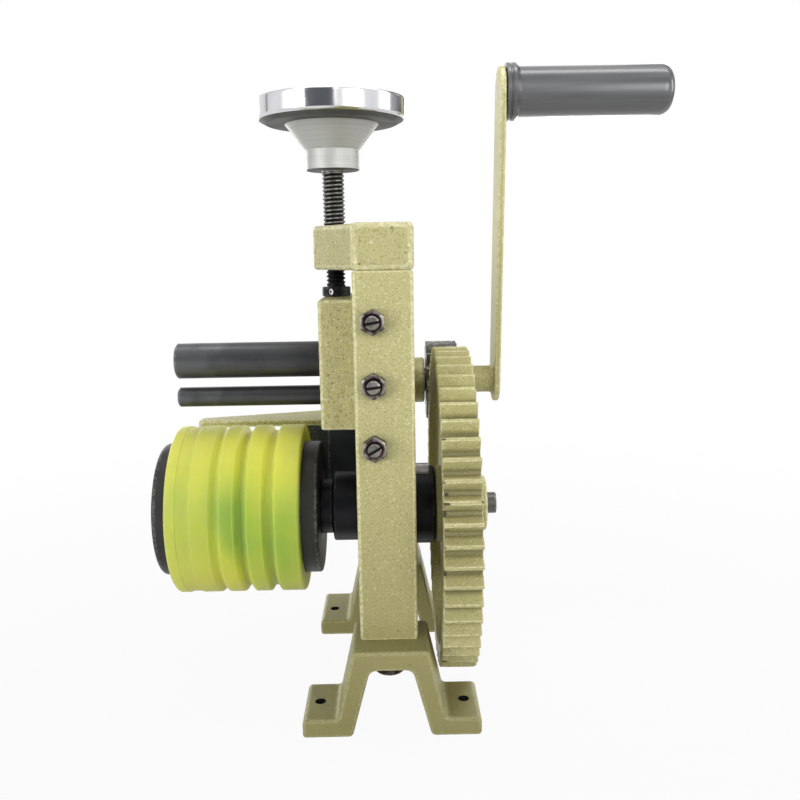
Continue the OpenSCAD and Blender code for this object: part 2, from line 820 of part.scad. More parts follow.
// soft sleeve with the turned grooves
module drum_sleeve() {
    r = sleeve_d / 2;
    inner = core_d / 2;
    color(soft) difference() {
        translate([0, 0, drum_z]) rotate([0, 90, 0]) rotate_extrude($fn = 96)
            polygon([[inner, sleeve_x0], [r - sleeve_edge, sleeve_x0], [r, sleeve_x0 + sleeve_edge],
                     [r, sleeve_x1 - sleeve_edge], [r - sleeve_edge, sleeve_x1], [inner, sleeve_x1]]);
        for (g = grooves)
            translate([0, 0, drum_z]) rotate([0, 90, 0]) rotate_extrude($fn = 96)
                translate([0, sleeve_x0 + g[0]])
                    polygon([[r - g[3], -g[2]], [r + cut, -g[1]], [r + cut, g[1]], [r - g[3], g[2]]]);
    }
}

module core_screw() {
    seat_x = core_x0 + core_screw_head;
    color(black) difference() {
        union() {
            rod_x(core_x0 + 0.5, seat_x, core_screw_head_d, 0, drum_z);
            rod_x(seat_x, seat_x + core_screw_length, core_screw_d, 0, drum_z);
        }
        hex_x(core_x0, core_x0 + 4, 8, 0, drum_z);
    }
}

// involute function in degrees
function inv(a) = tan(a) * 180 / PI - a;

// half of the tooth angle at radius r
function tooth_half(r, rp, rb) =
    (PI * gear_module / 4 - backlash / 4) / rp * 180 / PI + inv(pressure_angle) - inv(acos(min(1, rb / r)));

// outline of a spur gear; tooth 0 points along the angle start
function gear_outline(teeth, start, steps) =
    let (rp = gear_module * teeth / 2, rb = rp * cos(pressure_angle), ra = rp + gear_module,
         rf = rp - 1.25 * gear_module, r0 = max(rf, rb))
    [for (i = [0 : teeth - 1]) let (mid = start + i * 360 / teeth)
        for (p = concat(
            rf < rb ? [[rf, -tooth_half(rb, rp, rb)]] : [],
            [for (k = [0 : steps]) let (r = r0 + (ra - r0) * k / steps) [r, -tooth_half(r, rp, rb)]],
            [for (k = [steps : -1 : 0]) let (r = r0 + (ra - r0) * k / steps) [r, tooth_half(r, rp, rb)]],
            rf < rb ? [[rf, tooth_half(rb, rp, rb)]] : []))
            [p[0] * cos(mid + p[1]), p[0] * sin(mid + p[1])]];

// extrude a profile drawn in the YZ plane along X
module along_x(x0, x1, y, z) {
    translate([x0, y, z]) rotate([90, 0, 90]) linear_extrude(x1 - x0) children();
}

module drum_gear() {
    rim_in = gear_root_r - rim_wall;
    gear_x1 = gear_x + gear_width;
    pad_d = gear_hub_d + 2 * gear_pad;
    color(paint) difference() {
        along_x(gear_x, gear_x1, 0, drum_z) polygon(gear_outline(gear_teeth, mesh_angle + gear_phase, 3));
        tube_x(gear_x - cut, gear_x + gear_recess, 2 * rim_in, pad_d, 0, drum_z);
        tube_x(gear_x1 - gear_recess, gear_x1 + cut, 2 * rim_in, pad_d, 0, drum_z);
        rod_x(gear_x - cut, gear_x1 + cut, gear_hub_d, 0, drum_z);
    }
}

// hub of the big gear, pressed into its web
module gear_hub() {
    color(paint) difference() {
        rod_x(gear_x, gear_hub_x, gear_hub_d, 0, drum_z);
        rod_x(gear_x - cut, gear_hub_x + cut, gear_seat_d, 0, drum_z);
        box([gear_x - cut, -key_width / 2, drum_z],
            [gear_hub_x + cut, key_width / 2, drum_z + gear_seat_d / 2 + key_height / 2]);
    }
}

module gear_key() {
    key_z = drum_z + gear_seat_d / 2 - key_height / 2;
    color(steel)
        box([gear_x + 5, -key_width / 2, key_z], [gear_hub_x - 2, key_width / 2, key_z + key_height]);
}

// shaft of the crank, in the rear bush
module crank_shaft() {
    color(steel) difference() {
        union() {
            rod_x(post_x0 - 1 - crank_collar_width, pinion_x0, crank_shaft_d, crank_y, crank_z);
            rod_x(pinion_x0 - cut, hub_x0, crank_seat_d, crank_y, crank_z);
            rod_x(hub_x0 - cut, arm_x1, crank_end_d, crank_y, crank_z);
        }
        box([pinion_x0 + 2, crank_y - 2.5, crank_z + crank_seat_d / 2 - 2.5],
            [pinion_x1, crank_y + 2.5, crank_z + crank_seat_d]);
    }
}

module crank_collar() {
    collar_x = post_x0 - axial_gap;
    color(black)
        tube_x(collar_x - crank_collar_width, collar_x, crank_collar_d, crank_shaft_d, crank_y, crank_z);
}

module pinion() {
    pinion_turn = gear_phase * gear_teeth / pinion_teeth;
    color(steel) difference() {
        along_x(pinion_x0, pinion_x1, crank_y, crank_z)
            polygon(gear_outline(pinion_teeth, mesh_angle + 180 + 180 / pinion_teeth - pinion_turn, 5));
        rod_x(pinion_x0 - cut, pinion_x1 + cut, crank_seat_d, crank_y, crank_z);
        box([pinion_x0 - cut, crank_y - 2.5, crank_z],
            [pinion_x1 + cut, crank_y + 2.5, crank_z + crank_seat_d / 2 + 2.5]);
    }
}

module pinion_key() {
    key_z = crank_z + crank_seat_d / 2 - 2.5;
    color(steel) box([pinion_x0 + 2, crank_y - 2.5, key_z], [pinion_x1 - 1, crank_y + 2.5, key_z + 5]);
}

module crank_hub() {
    color(paint) tube_x(hub_x0, arm_x, crank_hub_d, crank_end_d, crank_y, crank_z);
}

// flat bar with round ends
module crank_arm() {
    bar_width = arm_width - 0.6;
    color(paint) difference() {
        along_x(arm_x, arm_x1, crank_y, crank_z) rotate(arm_lean) {
            circle(d = arm_width);
            translate([-bar_width / 2, 0]) square([bar_width, arm_length]);
            translate([0, arm_length]) circle(d = arm_width);
        }
        rod_x(arm_x - cut, arm_x1 + cut, crank_end_d, crank_y, crank_z);
        rod_x(arm_x - cut, arm_x1 + cut, handle_pin_d, handle_y, handle_z);
    }
}

module handle_pin() {
    color(steel) rod_x(arm_x, pin_nut_x0 + pin_nut_width, handle_pin_d, handle_y, handle_z);
}

module pin_nut() {
    color(steel)
        tube_x(pin_nut_x0, pin_nut_x0 + pin_nut_width, pin_nut_d, handle_pin_d, handle_y, handle_z);
}

// moulded grip with a flange, free to turn on its pin
module grip() {
    color(grey) difference() {
        union() {
            rod_x(grip_x0, grip_x0 + grip_flange_width, grip_flange_d, handle_y, handle_z);
            rod_x(grip_x0, grip_cap_x0, grip_d, handle_y, handle_z);
        }
        rod_x(grip_x0 - cut, grip_end, handle_pin_d + 2 * running_play, handle_y, handle_z);
        rod_x(pin_nut_x0 - axial_gap, grip_end, pin_nut_d + 1, handle_y, handle_z);
    }
}

// rounded end of the grip
module grip_cap() {
    r = grip_d / 2;
    bulge = 8;
    color(grey) translate([grip_cap_x0, handle_y, handle_z]) rotate([0, 90, 0]) rotate_extrude()
        intersection() {
            union() {
                square([r - bulge, bulge]);
                translate([r - bulge, 0]) circle(r = bulge);
            }
            square([r, bulge]);
        }
}

front_foot();
rear_foot();
foot_screws();
housing();
top_cap();
cap_screws();
spindle_nut();
gib_screws();
gib_lock_nuts();
gib_strip();
bearing_block();
bearing_boss_left();
bearing_boss_right();
block_screws();
drum_bush_left();
drum_bush_right();
guard_stud();
feed_table();
table_bracket();
table_screws();
table_bolts();
crank_bush();
slider();
big_bush();
small_bush();
spindle_keeper();
spindle();
hand_wheel();
wheel_washer();
wheel_nut();
thrust_collar();
collar_screw();
big_mandrel();
big_mandrel_collar();
small_mandrel();
small_mandrel_collar();
drum_shaft();
drum_core();
drum_sleeve();
core_screw();
drum_gear();
gear_hub();
gear_key();
crank_shaft();
crank_collar();
pinion();
pinion_key();
crank_hub();
crank_arm();
handle_pin();
pin_nut();
grip();
grip_cap();
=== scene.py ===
"""Finished looks of a hand-cranked bracelet rolling machine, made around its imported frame.

The file is laid out as an add-on: sizes, colours and the studio are property groups, each group of pieces is
one operator, and a panel lists them. Lengths are metres, X runs along the drum axis to the gear, Z is up.
"""

import json
import math

import bmesh
import bpy
import numpy as np
from bpy.props import FloatProperty, FloatVectorProperty, PointerProperty
from mathutils import Matrix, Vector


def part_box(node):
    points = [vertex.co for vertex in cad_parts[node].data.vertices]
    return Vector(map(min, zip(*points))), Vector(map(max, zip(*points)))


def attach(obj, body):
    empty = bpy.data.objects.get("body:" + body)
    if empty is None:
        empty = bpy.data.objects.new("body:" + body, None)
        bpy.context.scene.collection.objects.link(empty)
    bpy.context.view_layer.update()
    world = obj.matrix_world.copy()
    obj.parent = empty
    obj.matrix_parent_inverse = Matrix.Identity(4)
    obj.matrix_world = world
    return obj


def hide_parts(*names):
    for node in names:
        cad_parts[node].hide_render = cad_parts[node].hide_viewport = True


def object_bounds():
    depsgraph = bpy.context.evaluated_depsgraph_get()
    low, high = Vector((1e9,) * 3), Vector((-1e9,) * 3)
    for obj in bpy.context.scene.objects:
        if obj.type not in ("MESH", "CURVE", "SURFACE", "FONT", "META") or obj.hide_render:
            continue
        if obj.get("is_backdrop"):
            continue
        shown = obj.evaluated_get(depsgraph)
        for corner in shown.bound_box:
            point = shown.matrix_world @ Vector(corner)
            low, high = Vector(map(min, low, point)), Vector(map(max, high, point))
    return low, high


bl_info = {
    "name": "Bracelet Rolling Machine",
    "version": (1, 0, 0),
    "blender": (4, 5, 0),
    "location": "View3D > Sidebar > Rolling Machine",
    "description": "Cast, turned and moulded surfaces for the pieces of a bracelet rolling machine",
    "category": "Add Mesh",
}

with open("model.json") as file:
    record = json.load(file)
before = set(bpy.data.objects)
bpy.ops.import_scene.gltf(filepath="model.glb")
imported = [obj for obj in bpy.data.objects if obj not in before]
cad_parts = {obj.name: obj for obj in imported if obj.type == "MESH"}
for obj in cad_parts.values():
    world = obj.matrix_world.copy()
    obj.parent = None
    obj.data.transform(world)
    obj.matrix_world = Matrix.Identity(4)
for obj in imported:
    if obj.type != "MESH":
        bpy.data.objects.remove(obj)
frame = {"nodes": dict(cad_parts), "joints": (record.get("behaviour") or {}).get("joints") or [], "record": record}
CAD_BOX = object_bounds()

# Places and sizes, in metres, that the boxes of the frame's nodes don't give
FOOT_PAD = 0.011
LEG_ROOT = 0.03125
FOOT_TOP = 0.022
ARCH_FOOT = 0.023
ARCH_TOP = 0.0123
ARCH_HEIGHT = 0.0405
FOOT_HOLE = 0.0066
FOOT_HOLE_X = 0.043
FOOT_HOLE_Y = 0.0685
FOOT_SCREW_TOP = 0.06
POST_INSET = 0.0008
POST_CORNER = 0.0008
WINDOW = 0.046
SILL_TOP = 0.072
RIB_X = (-0.006, 0.004)
RIB_DEPTH = 0.004
RIB_BOTTOM = 0.155
RIB_SHORT = 0.0004
RIB_EDGE = 0.0006
CRANK_BOSS = 0.034
BOSS_PROUD = 0.0003
BOSS_EDGE = 0.0012
ARM_ROOT = 0.003
BULGE_FLAT = 0.021
BULGE_ROOT = 0.061
POST_X = (-0.018, 0.016)
GIB_SLOT_X = (-0.0122, 0.0102)
RIB_SLOT_X = (-0.0062, 0.0042)
SLOT_DEPTH = 0.004
POCKET_DEPTH = 0.024
KEEPER_DEPTH = 0.008
TABLE_FRONT = 0.054
TABLE_TIP = 0.012
TABLE_KNEE_X = -0.052
TABLE_EDGE = 0.0013
BRACKET_X = -0.043
BRACKET_PLATE = (0.048, 0.058)
BRACKET_WEB_Y = 0.054
BRACKET_WEB_Z = 0.1335
BRACKET_FLANGE = 0.005
BRACKET_OVERLAP = 0.004
GUSSET_REACH = 0.0105
GUSSET_DROP = 0.0195
GUSSET_OVERLAP = 0.003
TABLE_SCREW_X = (-0.027, -0.037)
TABLE_SCREW_Y = 0.056
TABLE_SCREW_DEPTH = 0.0032
GEAR_TEETH = 54
PINION_TEETH = 14
PRESSURE = math.radians(25)
BACKLASH = 0.0005
GEAR_PHASE = math.radians(-2.2)
GEAR_RECESS = 0.007
GEAR_RIM = 0.006
GEAR_PAD = 0.007
CHIP_DEPTH = 0.0007
CHIP_SIZES = (0.0007, 0.0019)
CHIP_SPREAD = 0.0012
GIB_SLOT_TURNS = np.radians([10, 7, 30])
LOWER_THREAD = 0.012
COLLAR_HOLE = 0.004
COLLAR_TURN = math.radians(-22)
# Heights above the bottom of the hand wheel, and thicknesses
WHEEL_HUB_HEIGHT = 0.012
WHEEL_WEB = 0.0276
WHEEL_RIM = 0.0302
WHEEL_THICK = 0.005
WHEEL_WALL = 0.006
CORE_SINK = 0.006
CORE_WALL = 0.0108
CORE_HEAD = 0.0055
BUSH_GAP = 0.0003
MANDREL_STEPS = {"big_mandrel": 0.0015, "small_mandrel": 0.00165}
NUT_FLATS = 0.013
BOLT_FLATS = 0.010
BOLT_HEAD = 0.004
BOLT_SUNK = 0.0003
GIB_CHAMFER = 0.001
GIB_SLOT = (0.006, 0.0008)
STUD_THREAD = (0.00125, 0.0006)
GRIP_DOME = 0.008
# Radii of shafts, seats and holes
DRUM_SHAFT = 0.0125
SHAFT_NECK = 0.018
GEAR_SEAT = 0.010
SHAFT_END = 0.0069
CRANK_SHAFT = 0.009
PINION_SEAT = 0.008
PINION_RINGS = (PINION_SEAT, 0.0085, 0.016, 0.0195)
ARM_SEAT = 0.006
HANDLE_HOLE = 0.005
SPINDLE_SEAT = 0.005
SPINDLE_POCKET = 0.00505
UPPER_THREAD = 0.007
KEEPER_HOLE = 0.0031
NUT_BORE = 0.004
GIB_POINT = 0.0031
GIB_HOLE = 0.0041
BOLT_SHANK = 0.003
FOOT_SCREW_HOLE = 0.0061
TABLE_SCREW_HOLE = 0.00445
WHEEL_HUB = 0.0165
WHEEL_CONE = 0.0288
WHEEL_BOSS = 0.013
CORE_COUNTERBORE = 0.009
CORE_SCREW_HOLE = 0.0053
GRIP_BORE = 0.00505
GRIP_POCKET = 0.0085
GRIP_VENT = 0.0004
# How far a tool passes the face it cuts, its rounded edge, and the step that keeps two faces apart
PAST = 0.002
HOLE_EDGE = 0.0002
SKIN = 0.0002
SCREWS = {
    # shank radius, head radius, head height, socket across flats, head at the bottom
    "foot_screws": (0.006, 0.009, 0.012, 0.010, True),
    "cap_screws": (0.004, 0.0065, 0.008, 0.006, False),
    "block_screws": (0.004, 0.0065, 0.008, 0.006, True),
    "table_screws": (0.0025, 0.00425, 0.003, 0.004, False),
}
CORE_SCREW = (0.005, 0.008, 0.008)
BUSHES = {
    # joint whose axis the bush shares, body, axis number, bore radius
    "drum_bush_left": ("drum_turn", "frame", 0, 0.01255),
    "drum_bush_right": ("drum_turn", "frame", 0, 0.01255),
    "crank_bush": ("crank_turn", "frame", 0, 0.00905),
    "big_bush": ("big_mandrel_spin", "slider", 0, 0.00985),
    "small_bush": ("small_mandrel_spin", "slider", 0, 0.0047),
    "spindle_nut": ("spindle_turn", "frame", 2, 0.00705),
}
GROOVES = (
    # distance from the free end, half width at the top, half width at the bottom, depth
    (0.0108, 0.0044, 0.0038, 0.0007),
    (0.0296, 0.0032, 0.0006, 0.0024),
    (0.0454, 0.0040, 0.0010, 0.0042),
    (0.0622, 0.0038, 0.0018, 0.0036),
)


def linear(red, green, blue):
    """Scene-linear colour of an 8-bit screen colour: c/12.92 below 0.04045, else ((c + 0.055)/1.055)^2.4."""
    shares = (value / 255 for value in (red, green, blue))
    return tuple(c / 12.92 if c < 0.04045 else ((c + 0.055) / 1.055) ** 2.4 for c in shares)


def length(name, description, default):
    """Property that holds a length in metres."""
    return FloatProperty(
        name=name, description=description, default=default, min=0.0, precision=5, subtype="DISTANCE",
        unit="LENGTH",
    )


def tint(name, description, *screen):
    """Property that holds a colour, given as an 8-bit screen colour."""
    return FloatVectorProperty(
        name=name, description=description, default=linear(*screen), size=3, min=0.0, max=1.0,
        subtype="COLOR",
    )


def angle(name, description, default):
    """Property that holds an angle in radians."""
    return FloatProperty(
        name=name, description=description, default=default, subtype="ANGLE", unit="ROTATION"
    )


def watts(name, description, default):
    """Property that holds a lamp's power."""
    return FloatProperty(
        name=name, description=description, default=default, min=0.0, subtype="POWER", unit="POWER"
    )


class MachineSizes(bpy.types.PropertyGroup):
    """Sizes of the details that the surfaces add to the frame."""

    cast_edge: length("Casting edge", "Radius of the rounded edges of the uprights and feet", 0.0016)
    cap_edge: length("Cap edge", "Radius of the rounded edges of the top cap", 0.0026)
    plate_edge: length("Plate edge", "Radius of the edges of the black plates", 0.0008)
    thread_pitch: length("Thread pitch", "Pitch of the spindle thread", 0.0025)
    thread_depth: length("Thread depth", "Depth of the spindle thread", 0.0012)
    groove_edge: length("Groove edge", "Radius of the groove edges in the soft sleeve", 0.0006)
    tooth_edge: length("Tooth edge", "Rounding of the tooth ends", 0.0007)
    tooth_waviness: length("Tooth waviness", "Unevenness of the cast teeth", 0.00012)
    weld_flare: length("Weld flare", "Height of the weld between the crank hub and the arm", 0.0032)
    grip_ring: length("Grip ring", "Depth of the rings in the grip flange", 0.0007)


class MachineColours(bpy.types.PropertyGroup):
    """Colours of the finishes."""

    paint: tint("Paint", "Main colour of the hammered paint", 190, 184, 130)
    # Also the colour that the painted shade towards the bottom darkens to.
    paint_deep: tint("Deep paint", "Colour in the hollows of the hammered paint", 140, 133, 80)
    # On the edges this pale is partly worn paint and partly a painted highlight.
    paint_pale: tint("Pale paint", "Colour on the bumps and worn edges of the hammered paint", 232, 228, 184)
    black: tint("Black steel", "Blackened steel", 22, 24, 27)
    slate: tint("Slate", "Slate skin of the feed table bracket", 72, 77, 80)
    core: tint("Drum core", "Charcoal skin of the drum core", 52, 52, 50)
    mandrel: tint("Mandrel steel", "Dark ground steel of the mandrels", 68, 69, 70)
    dull: tint("Dull steel", "Dull dark steel of the pinion and the shaft end", 92, 92, 88)
    bright: tint("Polished metal", "Polished rim of the hand wheel", 216, 216, 219)
    satin: tint("Turned metal", "Satin turned metal of the hand wheel", 206, 207, 203)
    # Painted dark reflection: the underside of the hand wheel takes this grey.
    cast: tint("Cast metal", "Dull underside of the hand wheel", 86, 87, 85)
    bronze: tint("Bronze", "Bearing bronze", 176, 132, 74)
    sleeve: tint("Sleeve", "Yellow of the soft sleeve", 240, 237, 86)
    # Painted reflection: the sleeve turns to this green at mid height.
    sleeve_green: tint("Green sleeve", "Green of the soft sleeve", 158, 189, 84)
    sleeve_lime: tint("Lime sleeve", "Pale lime clouds of the soft sleeve", 230, 238, 136)
    grip: tint("Grip", "Grey plastic of the grip", 82, 83, 84)
    oxide: tint("Black oxide", "Blackened nuts and screws", 66, 56, 54)


class MachineStudio(bpy.types.PropertyGroup):
    """Camera and light of the studio."""

    place: FloatVectorProperty(
        name="Camera place", description="Where the camera stands", size=3, subtype="TRANSLATION",
        unit="LENGTH", default=(0.003155, -0.5458, 0.2756),
    )
    pitch: angle("Pitch", "How far the camera looks down", 0.169)
    yaw: angle("Yaw", "How far the camera looks to the right", 0.009363)
    roll: angle("Roll", "How far the camera leans", -0.01585)
    lens: FloatProperty(
        name="Lens", description="Focal length for a 36 mm sensor", default=38.45, unit="CAMERA"
    )
    ambient: FloatProperty(
        name="Ambient light", description="Strength of the light from all around", default=0.06, min=0.0,
        max=1.0, subtype="FACTOR",
    )
    key: watts("Key light", "Power of the lamp at the upper left", 1.48)
    front: watts("Front light", "Power of the lamp above the camera", 0.82)
    fill: watts("Fill light", "Power of the lamp at the right", 0.65)
    top: watts("Strip light", "Power of the strip lamp above", 3.4)
    side: watts("Side light", "Power of the lamp beside the gear", 6.0)
    back: watts("Back light", "Power of each of the two lamps behind", 5.0)


def sizes():
    """The size settings of the scene."""
    return bpy.context.scene.machine_sizes


def colours():
    """The colour settings of the scene."""
    return bpy.context.scene.machine_colours


def span(node):
    """Lowest and highest corner of a frame node as two arrays."""
    low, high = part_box(node)
    return np.array(low), np.array(high)


def half_size(node, axis):
    """Half of the size of a frame node along an axis."""
    low, high = span(node)
    return (high[axis] - low[axis]) / 2


def middle(node, axis):
    """Middle of a frame node along an axis."""
    low, high = span(node)
    return (low[axis] + high[axis]) / 2


def pivot(joint):
    """Point on a joint's axis, as an array."""
    return np.array(next(j["pos_m"] for j in frame["joints"] if j["name"] == joint))


class Shell:
    """Points, faces, per-point values and the finish number of each face of one surface."""

    def __init__(self, points, faces, finish=0, **values):
        self.points = np.asarray(points, float).reshape(-1, 3)
        self.faces = [list(map(int, face)) for face in faces]
        self.finish = np.array(np.broadcast_to(finish, len(self.faces)), np.int32)
        self.values = {key: np.asarray(value, float).ravel() for key, value in values.items()}


def join(shells):
    """One shell that holds several, with point numbers shifted and missing values zero."""
    points = np.concatenate([shell.points for shell in shells])
    finish = np.concatenate([shell.finish for shell in shells])
    starts = np.cumsum([0] + [len(shell.points) for shell in shells]).tolist()
    faces = [
        [index + start for index in face] for shell, start in zip(shells, starts) for face in shell.faces
    ]
    values = {}
    for key in sorted({key for shell in shells for key in shell.values}):
        values[key] = np.concatenate(
            [shell.values.get(key, np.zeros(len(shell.points))) for shell in shells]
        )
    return Shell(points, faces, finish, **values)


def norm(vectors):
    """Lengths of row vectors, kept as a column."""
    return np.linalg.norm(vectors, axis=-1, keepdims=True)


def on_axis(axis, along, first, second):
    """Points whose coordinate on one axis is along, with the two others in their XYZ order."""
    order = [first, second]
    order.insert(axis, along)
    return np.stack(np.broadcast_arrays(*order), -1)


def around(sides):
    """Even angles once round a circle."""
    return np.linspace(0, 2 * np.pi, sides, endpoint=False)


def about(axis, centre, along, radius, turn):
    """Points at a place along an axis, at a radius from it and at an angle round it."""
    return on_axis(axis, along, centre[0] + radius * np.cos(turn), centre[1] + radius * np.sin(turn))


def turn_shell(shell, plane, centre, turn):
    """Turns a shell in the plane of two axes about the origin, and then moves the origin to a centre."""
    first, second = plane
    a, b = shell.points[:, first].copy(), shell.points[:, second].copy()
    shell.points[:, first] = centre[0] + a * math.cos(turn) - b * math.sin(turn)
    shell.points[:, second] = centre[1] + a * math.sin(turn) + b * math.cos(turn)


def end_faces(rows, columns):
    """Faces that close the first and the last row of a grid."""
    return [list(range(columns))[::-1], list(range((rows - 1) * columns, rows * columns))]


def grid_faces(rows, columns, closed=False):
    """Quads (i, j), (i, j+1), (i+1, j+1), (i+1, j) of a grid.

    The columns wrap round, and the rows do too if it is closed.
    """
    i = np.arange(rows if closed else rows - 1)[:, None]
    j = np.arange(columns)[None]
    right, below = (j + 1) % columns, (i + 1) % rows
    quads = [i * columns + j, i * columns + right, below * columns + right, below * columns + j]
    return np.stack(quads, -1).reshape(-1, 4)


def round_corners(corners, radii, steps=5, margin=0.0, closed=True):
    """Outline with a tangent arc in each corner, and the wear value of each point.

    A corner P whose unit edges b and a enclose the angle 2h gets an arc of radius r about
    P + (a + b)/|a + b| * r/sin h, from P + b*r/tan h to P + a*r/tan h. With a margin, one more point stands
    on each straight edge that far from the arc. The wear value is 1 on the arcs and 0 elsewhere;
    the finishes make these edges paler, as partly worn surface and partly a painted highlight.
    """
    points = np.asarray(corners, float)
    before, middle, after = np.roll(points, 1, 0), points, np.roll(points, -1, 0)
    if not closed:
        before, middle, after = points[:-2], points[1:-1], points[2:]
    radius = np.broadcast_to(np.asarray(radii, float), len(middle))[:, None]
    back, ahead = before - middle, after - middle
    back_length, ahead_length = norm(back), norm(ahead)
    back, ahead = back / back_length, ahead / ahead_length
    half = np.arccos(np.clip((back * ahead).sum(1, keepdims=True), -1, 1)) / 2
    reach = radius / np.tan(half)
    centre = middle + (back + ahead) / norm(back + ahead) * radius / np.sin(half)
    sweep = (np.pi - 2 * half)[:, None]
    share = np.linspace(0, 1, steps)[None, :, None]
    start, end = (middle + back * reach - centre)[:, None], (middle + ahead * reach - centre)[:, None]
    arc = np.sin((1 - share) * sweep) * start + np.sin(share * sweep) * end
    outline = centre[:, None] + arc / np.sin(sweep)
    wear = np.ones(outline.shape[:2])
    if margin:
        near, far = np.roll(reach, 1, 0), np.roll(reach, -1, 0)
        if not closed:
            near[0], far[-1] = 0.0, 0.0
        first = middle + back * (reach + np.clip((back_length - reach - near) / 3, 0, margin))
        last = middle + ahead * (reach + np.clip((ahead_length - reach - far) / 3, 0, margin))
        outline = np.concatenate([first[:, None], outline, last[:, None]], 1)
        wear = np.pad(wear, ((0, 0), (1, 1)))
    outline, wear = outline.reshape(-1, 2), wear.ravel()
    if not closed:
        outline = np.vstack([points[:1], outline, points[-1:]])
        wear = np.pad(wear, 1)
    return outline, wear


def shrink(corners, radii, distance):
    """Corners moved inwards by P + d*(m + n)/(1 + m.n), with the inward normals m and n of the two edges.

    The arc radius loses the distance in an outer corner and gains it in an inner one.
    """
    points = np.asarray(corners, float)
    ahead = np.roll(points, -1, 0) - points
    x, y = points.T
    side = np.sign((x * np.roll(y, -1) - y * np.roll(x, -1)).sum())
    normal = side * np.stack([-ahead[:, 1], ahead[:, 0]], 1) / norm(ahead)
    before = np.roll(normal, 1, 0)
    moved = points + distance * (before + normal) / (1 + (before * normal).sum(1, keepdims=True))
    back = np.roll(ahead, 1, 0)
    outer = side * (back[:, 0] * ahead[:, 1] - back[:, 1] * ahead[:, 0]) > 0
    return moved, np.maximum(np.where(outer, radii - distance, radii + distance), 2e-5)


def prism(axis, corners, radii, low, high, edge, steps=4, margin=0.0018):
    """Outline carried along an axis, with rounded edges at both ends and flat end faces.

    On a quarter circle of angle q the outline is inset by edge*(1 - sin q) at edge*(1 - cos q) from the end.
    """
    radii = np.broadcast_to(np.asarray(radii, float), len(corners))
    sides = norm(np.roll(corners, -1, 0) - np.asarray(corners, float))
    margin = min(margin, 0.2 * sides.min())
    lane = max(min(margin, (high - low - 2 * edge) / 3), 0.0)
    quarter = np.linspace(0, np.pi / 2, steps)
    inset = np.concatenate([[edge + margin], edge * (1 - np.sin(quarter)), [0.0]])
    rise = np.concatenate([[0.0], edge * (1 - np.cos(quarter)), [edge + lane]])
    worn = np.concatenate([[0.0], np.ones(steps), [0.0]])
    along = np.concatenate([low + rise, high - rise[::-1]])
    insets = np.concatenate([inset, inset[::-1]])
    rings = [round_corners(*shrink(corners, radii, d), steps + 1, margin) for d in insets]
    outlines = np.array([ring[0] for ring in rings])
    points = on_axis(axis, along[:, None], outlines[..., 0], outlines[..., 1])
    rows, columns = outlines.shape[:2]
    # The rounded edge rows get 1: their paler finish is partly wear and partly a painted highlight.
    wear = np.maximum(np.concatenate([worn, worn[::-1]])[:, None], rings[0][1][None])
    wear[[0, -1]] = 0.0
    return Shell(points, grid_faces(rows, columns).tolist() + end_faces(rows, columns), wear=wear)


def box(low, high, edge, axis=2):
    """Rounded box between two corners."""
    a, b = [k for k in range(3) if k != axis]
    corners = [(low[a], low[b]), (high[a], low[b]), (high[a], high[b]), (low[a], high[b])]
    return prism(axis, corners, edge, low[axis], high[axis], edge)


def lathe(axis, centre, profile, radii, sides=96, closed=True, steps=4, finish=None):
    """Profile of (radius, place) corners, with its corners rounded, turned about an axis.

    Ring i has radius r_i at t_i along the axis, and point j of it stands at the angle 2*pi*j/sides. Each
    point keeps run, the length along the profile. The finish function gives each ring's finish number.
    """
    outline, wear = round_corners(profile, radii, steps, 0.001, closed)
    points = about(axis, centre, outline[:, 1:], outline[:, :1], around(sides))
    run = np.concatenate([[0], np.cumsum(norm(np.diff(outline, axis=0))[:, 0])])
    rows = len(outline) if closed else len(outline) - 1
    after = np.roll(outline, -1, 0)[:rows]
    kinds = np.zeros(rows, int) if finish is None else finish((outline[:rows] + after) / 2)
    faces = grid_faces(len(outline), sides, closed)
    kinds, wear, run = (np.repeat(value, sides) for value in (kinds, wear, run))
    return Shell(points, faces, kinds, wear=wear, run=run)


def rod(axis, centre, radius, low, high, edge, sides=48):
    """Solid cylinder with rounded edges."""
    profile = [(0, low), (radius, low), (radius, high), (0, high)]
    return lathe(axis, centre, profile, edge, sides, closed=False)


def bore(axis, centre, radius, low, high, sides=72):
    """Rod that cuts a hole right through a piece between two corners."""
    return rod(axis, centre, radius, low[axis] - PAST, high[axis] + PAST, HOLE_EDGE, sides)


def tube(axis, centre, radius, bore, low, high, edge, sides=96):
    """Hollow cylinder with rounded edges."""
    return lathe(axis, centre, [(bore, low), (radius, low), (radius, high), (bore, high)], edge, sides)


def hexagon(turn, flats, start=0.0):
    """Radius of a hexagon at an angle: half its flats over cos of the angle to the nearest flat."""
    return flats / 2 / np.cos((turn - start + np.pi / 6) % (np.pi / 3) - np.pi / 6)


def hex_nut(axis, centre, low, high, flats, bore, start=0.0, sides=120):
    """Bored hexagon cut by a 30 degree cone at both ends: r = min(hexagon, c + h/tan 30), h from the face."""
    turn = around(sides)
    height = np.linspace(0, 0.09 * flats, 8)
    limit = np.concatenate([0.475 * flats + height / math.tan(math.radians(30)), [flats]])
    place = np.concatenate([height, [0.11 * flats]])
    lead = 0.2 * bore
    radius = np.concatenate([[bore, bore + lead], limit, limit[::-1], [bore + lead, bore]])
    along = np.concatenate([[low + lead, low], low + place, high - place[::-1], [high, high - lead]])
    outer = np.concatenate([[False] * 2, [True] * (2 * len(limit)), [False] * 2])
    cut = np.minimum(radius[:, None], hexagon(turn, flats, start))
    rings = np.where(outer[:, None], cut, radius[:, None])
    points = about(axis, centre, along[:, None], rings, turn)
    wear = np.where(outer & (radius < flats), 1.0, 0.0)[:, None] + 0 * rings
    return Shell(points, grid_faces(len(radius), sides, True), wear=wear)


